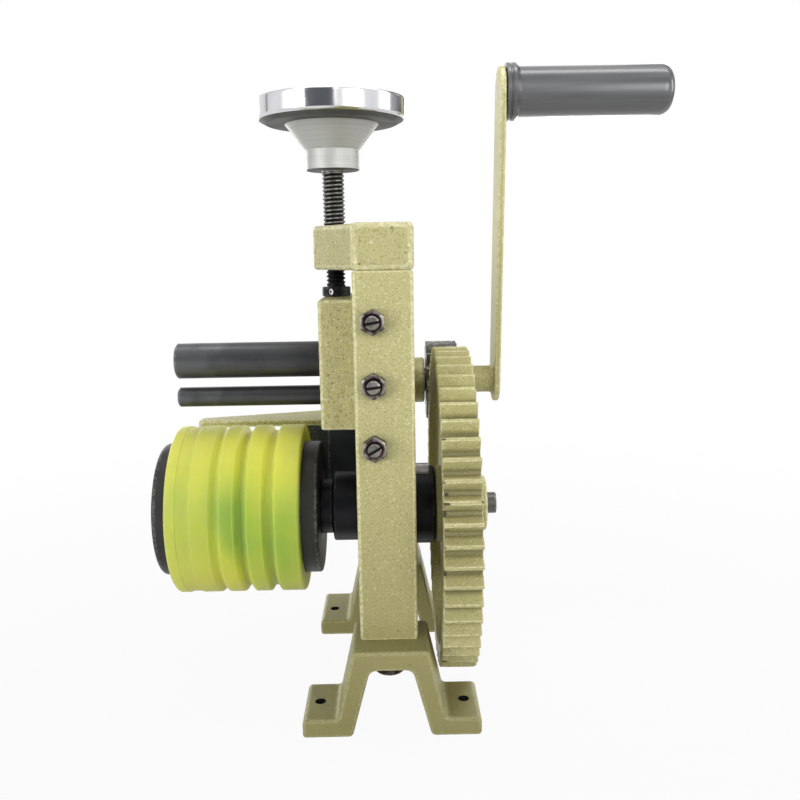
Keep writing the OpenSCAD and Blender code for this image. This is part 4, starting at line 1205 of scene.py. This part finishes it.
class MakeFeet(bpy.types.Operator):
    """Two A-shaped cast feet with rounded arches and drilled pads"""

    bl_idname = "machine.feet"
    bl_label = "Feet"

    def execute(self, context):
        screw_x = middle("foot_screws", 0)
        screw_y = span("foot_screws")[1][1] - SCREWS["foot_screws"][1]
        for node in ("front_foot", "rear_foot"):
            low, high = span(node)
            half, top = high[0], high[2]
            corners = [
                (-half, 0), (-ARCH_FOOT, 0), (-ARCH_TOP, ARCH_HEIGHT), (ARCH_TOP, ARCH_HEIGHT),
                (ARCH_FOOT, 0), (half, 0), (half, FOOT_PAD), (LEG_ROOT, FOOT_PAD), (FOOT_TOP, top),
                (-FOOT_TOP, top), (-LEG_ROOT, FOOT_PAD), (-half, FOOT_PAD),
            ]
            radii = np.array([2, 3, 5, 5, 3, 2, 2.6, 3, 1.6, 1.6, 3, 2.6]) / 1000
            end = np.sign(low[1])
            holes = [
                rod(2, (x, end * FOOT_HOLE_Y), FOOT_HOLE / 2, -PAST / 2, FOOT_PAD + PAST / 2, HOLE_EDGE, 40)
                for x in (-FOOT_HOLE_X, FOOT_HOLE_X)
            ]
            at = (screw_x, screw_y * end)
            holes.append(rod(2, at, FOOT_SCREW_HOLE, ARCH_HEIGHT - PAST / 2, FOOT_SCREW_TOP, HOLE_EDGE))
            # Painted shade: the walls of the holes take the black finish.
            for hole in holes:
                hole.finish[:] = 1
            shell = prism(1, corners, radii, low[1], high[1], sizes().cast_edge)
            finishes = [foot_paint, blackened_steel]
            piece(node + "_casting", shell, "frame", finishes, [node], cut=holes)
        return {"FINISHED"}


class MakeHousing(bpy.types.Operator):
    """Cast window frame: two uprights on a sill, a guide rib and the crank boss"""

    bl_idname = "machine.housing"
    bl_label = "Housing"

    def execute(self, context):
        low, high = span("housing")
        edge = sizes().cast_edge
        post = span("top_cap")[1][1] - POST_INSET
        corners = [
            (-post, low[2]), (post, low[2]), (post, high[2]), (WINDOW, high[2]), (WINDOW, SILL_TOP),
            (-WINDOW, SILL_TOP), (-WINDOW, high[2]), (-post, high[2]),
        ]
        shell = prism(0, corners, POST_CORNER, *POST_X, edge)
        crank = pivot("crank_turn")
        half = CRANK_BOSS / 2
        root, bottom, top = post - ARM_ROOT, crank[2] - half, crank[2] + half
        arm = [(root, bottom), (crank[1] + half, bottom), (crank[1] + half, top), (root, top)]
        bend = half - SKIN
        rib_low = (RIB_X[0], WINDOW - RIB_DEPTH, RIB_BOTTOM)
        rib_high = (RIB_X[1], WINDOW + RIB_DEPTH, high[2] - RIB_SHORT)
        add = [
            box(rib_low, rib_high, RIB_EDGE),
            prism(0, arm, (0.0005, bend, bend, 0.0005), POST_X[0] + SKIN, POST_X[1] - SKIN, edge),
            rod(0, crank[1:], half + BOSS_PROUD, POST_X[0], high[0], edge, 96),
        ]
        cut = [bore(0, crank[1:], half_size("crank_bush", 2), low, high)]
        x = middle("gib_lock_nuts", 0)
        for z in gib_heights():
            cut.append(rod(1, (x, z), GIB_HOLE, -post - PAST, -WINDOW + PAST, HOLE_EDGE))
        piece("housing_casting", shell, "frame", [hammered_paint], ["housing"], add, cut)
        return {"FINISHED"}


def gib_heights():
    """Heights of the three gib screws, spread evenly over the lock nuts' box."""
    low, high = span("gib_lock_nuts")
    reach = NUT_FLATS / math.sqrt(3)
    return np.linspace(high[2] - reach, low[2] + reach, 3)


class MakeTopCap(bpy.types.Operator):
    """Cast cap with the bulge round the spindle nut"""

    bl_idname = "machine.top_cap"
    bl_label = "Top cap"

    def execute(self, context):
        low, high = span("top_cap")
        left = POST_X[0]
        corners = [
            (high[0], low[1]), (high[0], high[1]), (left, high[1]), (left, BULGE_ROOT), (low[0], BULGE_FLAT),
            (low[0], -BULGE_FLAT), (left, -BULGE_ROOT), (left, low[1]),
        ]
        radii = np.array([3.2, 3.2, 3, 4, 6, 6, 4, 3]) / 1000
        shell = prism(2, corners, radii, low[2], high[2], sizes().cap_edge)
        cut = [bore(2, pivot("spindle_turn")[:2], half_size("spindle_nut", 0), low, high)]
        screw_high = span("cap_screws")[1]
        reach = half_size("cap_screws", 0)
        seat = screw_high[2] - SCREWS["cap_screws"][2]
        for side in (-1, 1):
            at = (middle("cap_screws", 0), side * (screw_high[1] - reach))
            cut.append(rod(2, at, reach + SKIN, seat, high[2] + PAST, HOLE_EDGE))
        piece("top_cap_casting", shell, "frame", [rough_paint], ["top_cap"], cut=cut)
        return {"FINISHED"}


class MakeSlider(bpy.types.Operator):
    """Cast slider with its guide slots and bores"""

    bl_idname = "machine.slider"
    bl_label = "Slider"

    def execute(self, context):
        low, high = span("slider")
        front, rear = low[1] + SLOT_DEPTH, high[1] - SLOT_DEPTH
        corners = [
            (low[0], low[1]), (GIB_SLOT_X[0], low[1]), (GIB_SLOT_X[0], front), (GIB_SLOT_X[1], front),
            (GIB_SLOT_X[1], low[1]), (high[0], low[1]), (high[0], high[1]), (RIB_SLOT_X[1], high[1]),
            (RIB_SLOT_X[1], rear), (RIB_SLOT_X[0], rear), (RIB_SLOT_X[0], high[1]), (low[0], high[1]),
        ]
        radii = np.array([1.8, 0.3, 0.3, 0.3, 0.3, 1.2, 1.2, 0.3, 0.3, 0.3, 0.3, 1.8]) / 1000
        shell = prism(2, corners, radii, low[2], high[2], sizes().cast_edge)
        cut = [
            bore(0, pivot(size + "_mandrel_spin")[1:], half_size(size + "_bush", 2), low, high)
            for size in ("big", "small")
        ]
        pocket, top = high[2] - POCKET_DEPTH, high[2] + PAST
        cut.append(rod(2, pivot("spindle_turn")[:2], SPINDLE_POCKET, pocket, top, HOLE_EDGE))
        at = (0, middle("spindle_keeper", 2))
        cut.append(rod(0, at, KEEPER_HOLE, low[0] - PAST, low[0] + KEEPER_DEPTH, HOLE_EDGE))
        piece("slider_casting", shell, "slider", [rough_paint], ["slider"], cut=cut)
        return {"FINISHED"}


class MakeFeedTable(bpy.types.Operator):
    """Tapered cast feed table on its black bracket"""

    bl_idname = "machine.feed_table"
    bl_label = "Feed table"

    def execute(self, context):
        self.table()
        self.bracket()
        return {"FINISHED"}

    @staticmethod
    def table():
        """Tapered plate with a counterbored hole for each table screw."""
        low, high = span("feed_table")
        corners = [
            (low[0], TABLE_FRONT), (BRACKET_X, TABLE_FRONT), (BRACKET_X, low[1]), (POST_X[0], low[1]),
            (POST_X[0], high[1]), (TABLE_KNEE_X, high[1]), (low[0], TABLE_FRONT + TABLE_TIP),
        ]
        shell = prism(2, corners, np.array([3, 2, 1, 1, 2, 8, 4]) / 1000, low[2], high[2], TABLE_EDGE)
        seat, top = high[2] - TABLE_SCREW_DEPTH, high[2] + PAST
        cut = [rod(2, (x, TABLE_SCREW_Y), TABLE_SCREW_HOLE, seat, top, HOLE_EDGE) for x in TABLE_SCREW_X]
        piece("feed_table_casting", shell, "frame", [rough_paint], ["feed_table"], cut=cut)

    @staticmethod
    def bracket():
        """Upright plate with a flange at the post, a web under the table and a gusset under the web."""
        low, high = span("table_bracket")
        front, rear = BRACKET_PLATE
        flange = POST_X[0] - BRACKET_FLANGE
        corners = [
            (BRACKET_X, front), (POST_X[0], front), (POST_X[0], high[1]), (flange, high[1]), (flange, rear),
            (BRACKET_X, rear),
        ]
        edge = sizes().plate_edge
        shell = prism(2, corners, np.array([1, 0.6, 1, 1, 2, 1]) / 1000, low[2], high[2], edge)
        inside = BRACKET_X + BRACKET_OVERLAP
        web = box((low[0], BRACKET_WEB_Y, BRACKET_WEB_Z), (inside, rear - SKIN, high[2] - SKIN), edge)
        gusset = box(
            (BRACKET_X - GUSSET_REACH, BRACKET_WEB_Y, BRACKET_WEB_Z - GUSSET_DROP),
            (inside, rear - 2 * SKIN, BRACKET_WEB_Z + GUSSET_OVERLAP), edge,
        )
        add = [web, gusset]
        piece("table_bracket_plate", shell, "frame", [slate_steel], ["table_bracket"], add)


class MakeBearing(bpy.types.Operator):
    """Black bearing block with a turned boss on each side"""

    bl_idname = "machine.bearing"
    bl_label = "Bearing"

    def execute(self, context):
        axis = pivot("drum_turn")[1:]
        hole = half_size("drum_bush_left", 2)
        low, high = span("bearing_block")
        shell = box(low, high, sizes().plate_edge, axis=0)
        cut = [bore(0, axis, hole, low, high)]
        finishes = [blackened_steel]
        piece("bearing_block_body", shell, "frame", finishes, ["bearing_block"], cut=cut)
        for node in ("bearing_boss_left", "bearing_boss_right"):
            low, high = span(node)
            shell = tube(0, axis, half_size(node, 2), hole, low[0], high[0], BOSS_EDGE)
            piece(node + "_turned", shell, "frame", finishes, [node], even=False)
        return {"FINISHED"}


class MakeBushes(bpy.types.Operator):
    """Bronze bushes of the drum, the crank and the mandrels, and the bronze spindle nut"""

    bl_idname = "machine.bushes"
    bl_label = "Bushes"

    def execute(self, context):
        for node, (joint, body, axis, inner) in BUSHES.items():
            low, high = span(node)
            centre = np.delete(pivot(joint), axis)
            shell = tube(axis, centre, half_size(node, 1), inner, low[axis], high[axis], 0.0004, 72)
            piece(node + "_turned", shell, body, [bearing_bronze], [node], even=False)
        return {"FINISHED"}


class MakeScrews(bpy.types.Operator):
    """Cap screws of the feet, cap, bearing, table and drum, and the hexagon bolts of the bracket"""

    bl_idname = "machine.screws"
    bl_label = "Screws"

    def execute(self, context):
        for node, (shank, head, depth, socket, down) in SCREWS.items():
            low, high = span(node)
            tip, top = (high[2], low[2]) if down else (low[2], high[2])
            seat = top + depth * (1 if down else -1)
            places = [(middle(node, 0), side * (high[1] - head)) for side in (-1, 1)]
            if node == "table_screws":
                places = [(x, TABLE_SCREW_Y) for x in TABLE_SCREW_X]
            shells = [socket_screw(2, at, tip, seat, top, shank, head, socket) for at in places]
            piece(node + "_set", join(shells), "frame", [black_oxide], [node], even=False)
        low, high = span("core_screw")
        shell = socket_screw(0, pivot("drum_turn")[1:], high[0], low[0] + CORE_HEAD, low[0], *CORE_SCREW)
        piece("core_screw_cap", shell, "drum", [black_oxide], ["core_screw"], even=False)
        low, high = span("table_bolts")
        corner = BOLT_FLATS / 2 / math.cos(math.pi / 6)
        shells = []
        for z in (low[2] + corner, high[2] - corner):
            at = (middle("table_bolts", 1), z)
            shells += [
                hex_nut(0, at, low[0], low[0] + BOLT_HEAD, BOLT_FLATS, BOLT_SHANK, math.pi / 6),
                rod(0, at, BOLT_SHANK, low[0] + BOLT_SUNK, high[0], 0.0004),
            ]
        bolts = join(shells)
        piece("table_bolts_set", bolts, "frame", [black_oxide], ["table_bolts"], even=False)
        return {"FINISHED"}


class MakeGib(bpy.types.Operator):
    """Hexagon lock nuts and slotted gib screws on the front upright"""

    bl_idname = "machine.gib"
    bl_label = "Gib screws"

    def execute(self, context):
        low, high = span("gib_lock_nuts")
        x = middle("gib_lock_nuts", 0)
        nuts = join([hex_nut(1, (x, z), low[1], high[1], NUT_FLATS, NUT_BORE) for z in gib_heights()])
        piece("gib_lock_nuts_set", nuts, "frame", [black_oxide], ["gib_lock_nuts"], even=False)
        low, high = span("gib_screws")
        front = low[1]
        profile = [
            (0, front), (GIB_POINT, front), (NUT_BORE, front + GIB_CHAMFER), (NUT_BORE, high[1]),
            (0, high[1]),
        ]
        length_half, width_half = GIB_SLOT
        screws, slots = [], []
        for z, turn in zip(gib_heights(), GIB_SLOT_TURNS):
            screws.append(lathe(1, (x, z), profile, 0.0003, 64, closed=False))
            slot_low = (-length_half, front - PAST, -width_half)
            slot = box(slot_low, (length_half, front + PAST, width_half), 0.0001)
            turn_shell(slot, (0, 2), (x, z), turn)
            # Painted shade: the walls of the slots take the black finish.
            slot.finish[:] = 1
            slots.append(slot)
        finishes = [machined_steel, blackened_steel]
        cut = [join(slots)]
        piece("gib_screws_set", join(screws), "frame", finishes, ["gib_screws"], cut=cut)
        return {"FINISHED"}


class MakeSpindle(bpy.types.Operator):
    """Threaded spindle with its thrust collar"""

    bl_idname = "machine.spindle"
    bl_label = "Spindle"

    def execute(self, context):
        low, high = span("spindle")
        centre = pivot("spindle_turn")[:2]
        wheel_low, wheel_high = (corner[2] for corner in span("hand_wheel"))
        cap_low = span("top_cap")[0][2]
        collar_low, collar_high = span("thrust_collar")
        pitch, depth = sizes().thread_pitch, sizes().thread_depth
        stud_low = span("wheel_washer")[0][2] - 0.002
        shells = [
            rod(2, centre, SPINDLE_SEAT, low[2], collar_high[2], 0.0004, 64),
            threaded(2, centre, LOWER_THREAD / 2, collar_high[2], cap_low + 0.002, pitch, depth),
            threaded(2, centre, UPPER_THREAD, cap_low + 0.001, wheel_low, pitch, depth),
            rod(2, centre, SPINDLE_SEAT, wheel_low - 0.001, wheel_high - 0.004, 0.0003),
            threaded(2, centre, NUT_BORE, stud_low, high[2], *STUD_THREAD),
        ]
        # Painted shade: the seat and the lower thread under the cap take the black finish.
        for shell in shells[:2]:
            shell.finish[:] = 1
        thread, finishes = join(shells), [thread_steel, blackened_steel]
        piece("spindle_thread", thread, "spindle", finishes, ["spindle"], sharp=60, even=False)
        ring = half_size("thrust_collar", 0)
        shell = tube(2, centre, ring, SPINDLE_SEAT, collar_low[2], collar_high[2], 0.0005)
        at = (0, middle("thrust_collar", 2))
        hole = rod(1, at, COLLAR_HOLE / 2, collar_low[1] - PAST, -0.004, HOLE_EDGE)
        turn_shell(hole, (0, 1), centre, COLLAR_TURN)
        finishes = [blackened_steel]
        piece("thrust_collar_ring", shell, "spindle", finishes, ["thrust_collar"], cut=[hole])
        return {"FINISHED"}


class MakeHandWheel(bpy.types.Operator):
    """Turned hand wheel with a polished rim, its washer and its nut"""

    bl_idname = "machine.hand_wheel"
    bl_label = "Hand wheel"

    def execute(self, context):
        centre = pivot("spindle_turn")[:2]
        self.wheel(centre)
        low, high = span("wheel_washer")
        shell = tube(2, centre, half_size("wheel_washer", 0), NUT_BORE, low[2], high[2], 0.0004, 72)
        finishes = [machined_steel]
        piece("wheel_washer_disc", shell, "spindle", finishes, ["wheel_washer"], even=False)
        low, high = span("wheel_nut")
        shell = hex_nut(2, centre, low[2], high[2], NUT_FLATS, NUT_BORE, math.pi / 6)
        piece("wheel_nut_hex", shell, "spindle", [black_oxide], ["wheel_nut"], even=False)
        return {"FINISHED"}

    @staticmethod
    def wheel(centre):
        """Hub, cone, web and rim in one turned profile: satin, with a polished rim.
        The dull dark grey underside is a painted dark reflection.
        """
        low, high = span("hand_wheel")
        rim = half_size("hand_wheel", 0)
        bottom, top = low[2], high[2]
        rim_low, web = bottom + WHEEL_RIM, bottom + WHEEL_WEB
        floor, boss_top = web + WHEEL_THICK, span("wheel_washer")[0][2]
        profile = [
            (SPINDLE_SEAT, bottom), (WHEEL_HUB, bottom), (WHEEL_HUB, bottom + WHEEL_HUB_HEIGHT),
            (WHEEL_CONE, web), (rim - WHEEL_WALL, web), (rim - 0.001, rim_low), (rim, rim_low + 0.001),
            (rim, top), (rim - WHEEL_WALL, top), (rim - WHEEL_WALL - 0.001, floor), (WHEEL_BOSS, floor),
            (WHEEL_BOSS, boss_top), (SPINDLE_SEAT, boss_top),
        ]
        radii = np.array([0.3, 0.9, 0.8, 1.2, 1.5, 0.4, 0.5, 1.2, 1.4, 2, 1.5, 0.8, 0.3]) / 1000

        def shine(middles):
            radius, height = middles[:, 0], middles[:, 1]
            # The underside takes the dark grey finish: a painted dark reflection.
            under = (radius > WHEEL_CONE) & (height < web + 0.0024) | (height < bottom + 0.0004)
            return np.where(radius > rim - 0.0021, 1, np.where(under, 2, 0))

        shell = lathe(2, centre, profile, radii, 160, finish=shine)
        finishes = [turned_metal, polished_metal, cast_metal]
        piece("hand_wheel_turned", shell, "spindle", finishes, ["hand_wheel"])


class MakeMandrels(bpy.types.Operator):
    """Two ground mandrels with broken end edges"""

    bl_idname = "machine.mandrels"
    bl_label = "Mandrels"

    def execute(self, context):
        for node, step in MANDREL_STEPS.items():
            low, high = span(node)
            centre = pivot(node + "_spin")[1:]
            radius = half_size(node, 2)
            bush_low, bush_high = span(node.replace("mandrel", "bush"))
            journal = radius - step
            tail = journal - 0.0015
            face, back = bush_low[0] - BUSH_GAP, bush_high[0] + BUSH_GAP
            profile = [
                (0, low[0]), (radius - 0.001, low[0]), (radius, low[0] + 0.001), (radius, face),
                (journal, face), (journal, back), (tail, back), (tail, high[0]), (0, high[0]),
            ]
            shell = lathe(0, centre, profile, np.array([4, 4, 2, 2, 2, 2, 2]) / 10000, 96, closed=False)
            piece(node + "_ground", shell, node, [mandrel_steel], [node])
        return {"FINISHED"}


class MakeDrum(bpy.types.Operator):
    """Black drum core on its shaft and the grooved soft sleeve"""

    bl_idname = "machine.drum"
    bl_label = "Drum"

    def execute(self, context):
        centre = pivot("drum_turn")[1:]
        low, high = span("drum_core")
        radius = half_size("drum_core", 2)
        seat, wall = low[0] + CORE_SINK, low[0] + CORE_WALL
        profile = [
            (DRUM_SHAFT, high[0]), (radius, high[0]), (radius, low[0]), (CORE_COUNTERBORE, low[0]),
            (CORE_COUNTERBORE, seat), (CORE_SCREW_HOLE, seat), (CORE_SCREW_HOLE, wall), (DRUM_SHAFT, wall),
        ]
        shell = lathe(0, centre, profile, np.array([3, 14, 22, 6, 2, 2, 2, 2]) / 10000, 160)
        piece("drum_core_turned", shell, "drum", [charcoal_core], ["drum_core"])
        self.sleeve(centre, radius)
        self.shaft(centre, high[0])
        return {"FINISHED"}

    @staticmethod
    def sleeve(centre, inner):
        """Sleeve profile: each groove adds four corners at its top and bottom half widths."""
        low, high = span("drum_sleeve")
        radius, edge = half_size("drum_sleeve", 2), 0.001
        profile = [(inner, low[0]), (radius - edge, low[0]), (radius, low[0] + edge)]
        for place, wide, narrow, depth in GROOVES:
            x, bottom = low[0] + place, radius - depth
            profile += [(radius, x - wide), (bottom, x - narrow), (bottom, x + narrow), (radius, x + wide)]
        profile += [(radius, high[0] - edge), (radius - edge, high[0]), (inner, high[0])]
        soft, crisp = sizes().groove_edge, 5e-5
        radii = np.minimum(soft, [crisp] + [soft] * (len(profile) - 2) + [crisp])
        shell = lathe(0, centre, profile, radii, 192, steps=5)
        finishes = [soft_polyurethane]
        piece("drum_sleeve_soft", shell, "drum", finishes, ["drum_sleeve"], sharp=80)

    @staticmethod
    def shaft(centre, core_end):
        """Stepped shaft with a neck between core and bearing, and a dull end past the gear hub."""
        low, high = (corner[0] for corner in span("drum_shaft"))
        hub_low, hub_high = (corner[0] for corner in span("gear_hub"))
        boss = span("bearing_boss_left")[0][0] - 0.0005
        profile = [
            (0, low), (DRUM_SHAFT, low), (DRUM_SHAFT, core_end), (SHAFT_NECK, core_end), (SHAFT_NECK, boss),
            (DRUM_SHAFT, boss), (DRUM_SHAFT, hub_low), (GEAR_SEAT, hub_low), (GEAR_SEAT, hub_high),
            (SHAFT_END, hub_high), (SHAFT_END, high), (0, high),
        ]

        def end(middles):
            return (middles[:, 1] > hub_high - 0.001).astype(int)

        shell = lathe(0, centre, profile, 0.0005, 72, closed=False, finish=end)
        finishes = [blackened_steel, dark_steel]
        piece("drum_shaft_turned", shell, "drum", finishes, ["drum_shaft"])


class MakeGears(bpy.types.Operator):
    """Cast drum gear with its hub, and the steel pinion"""

    bl_idname = "machine.gears"
    bl_label = "Gears"

    def execute(self, context):
        rng = np.random.default_rng(7)
        drum, crank = pivot("drum_turn")[1:], pivot("crank_turn")[1:]
        gap = crank - drum
        mesh = math.atan2(gap[1], gap[0])
        module = 2 * np.linalg.norm(gap) / (GEAR_TEETH + PINION_TEETH)
        low, high = span("drum_gear")
        hub_high = span("gear_hub")[1]
        hub = half_size("gear_hub", 2)
        pad, rim = hub + GEAR_PAD, module * (GEAR_TEETH / 2 - 1.25) - GEAR_RIM
        soft = 0.0012
        corners = [(hub, 0), (pad, 0), (pad, GEAR_RECESS), (rim, GEAR_RECESS), (rim, 0), (rim + 0.003, 0)]
        inner, _ = round_corners(corners, (soft, 2 * soft, 2 * soft, soft), 3, closed=False)
        outline = tooth_outline(GEAR_TEETH, module, mesh + GEAR_PHASE)
        edge, wave = sizes().tooth_edge, sizes().tooth_waviness
        shell = spur_gear(drum, outline, low[0], high[0], inner, edge, wave, rng, chips=160)
        piece("drum_gear_casting", shell, "drum", [gear_paint], ["drum_gear"], sharp=45, even=False)
        key_low, key_high = span("gear_key")
        shell = tube(0, drum, hub, GEAR_SEAT, low[0], hub_high[0], soft)
        slot_low = (low[0] - PAST, key_low[1], drum[1])
        slot = box(slot_low, (hub_high[0] + PAST, key_high[1], key_high[2]), 0.0001)
        piece("gear_hub_casting", shell, "drum", [gear_paint], ["gear_hub"], cut=[slot])
        start = mesh + math.pi + math.pi / PINION_TEETH - GEAR_PHASE * GEAR_TEETH / PINION_TEETH
        low, high = span("pinion")
        outline = tooth_outline(PINION_TEETH, module, start)
        inner = [(radius, 0) for radius in PINION_RINGS]
        shell = spur_gear(crank, outline, low[0], high[0], inner, 0.0005, 0.0, rng)
        piece("pinion_cut", shell, "crank", [dark_steel], ["pinion"], sharp=45, even=False)
        return {"FINISHED"}


class MakeCrank(bpy.types.Operator):
    """Crank shaft, its collar, the hub with its weld and the flat crank arm"""

    bl_idname = "machine.crank"
    bl_label = "Crank"

    def execute(self, context):
        crank, handle = pivot("crank_turn")[1:], pivot("grip_spin")[1:]
        low, high = (corner[0] for corner in span("crank_shaft"))
        pinion = span("pinion")[0][0]
        hub_low, hub_high = span("crank_hub")
        profile = [
            (0, low), (CRANK_SHAFT, low), (CRANK_SHAFT, pinion), (PINION_SEAT, pinion),
            (PINION_SEAT, hub_low[0]), (ARM_SEAT, hub_low[0]), (ARM_SEAT, high), (0, high),
        ]
        shell = lathe(0, crank, profile, 0.0004, 64, closed=False)
        piece("crank_shaft_turned", shell, "crank", [machined_steel], ["crank_shaft"])
        low, high = span("crank_collar")
        shell = tube(0, crank, half_size("crank_collar", 2), CRANK_SHAFT, low[0], high[0], 0.0006)
        piece("crank_collar_ring", shell, "crank", [blackened_steel], ["crank_collar"])
        self.hub(crank, hub_low, hub_high)
        low, high = span("crank_arm")
        half = high[2] - handle[1]
        along = (handle - crank) / np.linalg.norm(handle - crank)
        across = np.array([along[1], -along[0]])
        corners = [
            crank - along * half + across * half, handle + along * half + across * half,
            handle + along * half - across * half, crank - along * half - across * half,
        ]
        shell = prism(0, corners, half - 0.0001, low[0], high[0], 0.0012, steps=10)
        holes = [bore(0, crank, ARM_SEAT, low, high, 48), bore(0, handle, HANDLE_HOLE, low, high, 48)]
        piece("crank_arm_bar", shell, "crank", [hammered_paint], ["crank_arm"], cut=holes)
        return {"FINISHED"}

    @staticmethod
    def hub(crank, low, high):
        """Hub tube whose end flares in a quarter circle to the arm, with a lumpy weld on the flare.

        The lumps are a sine of 9 waves and a smaller one of 23 waves round the hub, growing with the flare.
        """
        radius, flare = (high[2] - low[2]) / 2, sizes().weld_flare
        q = np.linspace(0, np.pi / 2, 7)
        curve = np.stack([radius + flare * (1 - np.cos(q)), high[0] - flare * (1 - np.sin(q))], 1)
        profile = [(ARM_SEAT, low[0]), (radius, low[0]), *curve.tolist(), (ARM_SEAT, high[0])]
        shell = lathe(0, crank, profile, [0.0003, 0.0008] + [0.0001] * len(curve) + [0.0001], 96, steps=3)
        flat = shell.points[:, 1:] - crank
        reach = np.clip((norm(flat) - radius - 0.0003) / flare, 0, 1)
        turn = np.arctan2(flat[:, 1], flat[:, 0])[:, None]
        lumps = 0.0007 * np.sin(9 * turn + 1.2) + 0.0004 * np.sin(23 * turn) - 0.0006
        shell.points[:, 1:] += flat / norm(flat) * reach * lumps
        piece("crank_hub_welded", shell, "crank", [rough_paint], ["crank_hub"], even=False)


class MakeGrip(bpy.types.Operator):
    """Moulded grip with a ringed flange and a rounded end"""

    bl_idname = "machine.grip"
    bl_label = "Grip"

    def execute(self, context):
        centre = pivot("grip_spin")[1:]
        start = span("grip")[0][0]
        end = span("grip_cap")[1][0]
        flange, radius = half_size("grip", 2), half_size("grip_cap", 2)
        waist = flange - sizes().grip_ring
        pocket = span("pin_nut")[0][0] - 0.0005
        profile = [
            (GRIP_BORE, start), (flange, start), (flange, start + 0.0024), (waist, start + 0.003),
            (waist, start + 0.0036), (flange, start + 0.0042), (flange, start + 0.0066),
            (waist, start + 0.0072), (radius, start + 0.009), (radius, end), (GRIP_VENT, end),
            (GRIP_VENT, end - 0.002), (GRIP_POCKET, end - 0.008), (GRIP_POCKET, pocket), (GRIP_BORE, pocket),
        ]
        radii = np.array([2, 10, 3, 2, 2, 3, 3, 2, 6, GRIP_DOME * 1e4, 1, 1, 2, 2, 2]) / 10000
        shell = lathe(0, centre, profile, radii, 128, steps=8)
        piece("grip_moulded", shell, "grip", [grip_plastic], ["grip", "grip_cap"])
        return {"FINISHED"}


class DressPlainParts(bpy.types.Operator):
    """Finishes on the frame nodes that keep their own surface"""

    bl_idname = "machine.plain_parts"
    bl_label = "Plain parts"

    def execute(self, context):
        slots = {row["node"]: row["material_slot"] for row in frame["record"]["subparts"]}
        for name, node in frame["nodes"].items():
            if not node.hide_render:
                node.data.materials.clear()
                node.data.materials.append(SLOT_FINISH[slots[name]]())
        return {"FINISHED"}


class MachinePanel(bpy.types.Panel):
    """Sidebar panel with the settings and one button for each group of pieces"""

    bl_idname = "VIEW3D_PT_rolling_machine"
    bl_label = "Rolling Machine"
    bl_space_type = "VIEW_3D"
    bl_region_type = "UI"
    bl_category = "Rolling Machine"

    def draw(self, context):
        for name in GROUPS:
            group = getattr(context.scene, name)
            column = self.layout.box().column()
            for key in group.__annotations__:
                column.prop(group, key)
        for operator in OPERATORS:
            self.layout.operator(operator.bl_idname)


GROUPS = {"machine_sizes": MachineSizes, "machine_colours": MachineColours, "machine_studio": MachineStudio}
OPERATORS = (
    MakeStage, MakeFeet, MakeHousing, MakeTopCap, MakeSlider, MakeFeedTable, MakeBearing, MakeBushes,
    MakeScrews, MakeGib, MakeSpindle, MakeHandWheel, MakeMandrels, MakeDrum, MakeGears, MakeCrank, MakeGrip,
    DressPlainParts,
)


def register():
    """Registers the classes and hangs the settings on the scene."""
    for item in (*GROUPS.values(), *OPERATORS, MachinePanel):
        bpy.utils.register_class(item)
    for key, group in GROUPS.items():
        setattr(bpy.types.Scene, key, PointerProperty(type=group))


def unregister():
    """Takes the settings and the classes away again."""
    for key in GROUPS:
        delattr(bpy.types.Scene, key)
    for item in (MachinePanel, *reversed(OPERATORS), *reversed(GROUPS.values())):
        bpy.utils.unregister_class(item)


def main():
    """Makes everything in order."""
    register()
    for operator in OPERATORS:
        group, name = operator.bl_idname.split(".")
        getattr(getattr(bpy.ops, group), name)()
    boxes = {"cad": CAD_BOX, "visual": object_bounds()}
    {key: [list(corner) for corner in pair] for key, pair in boxes.items()}


if __name__ == "__main__":
    main()
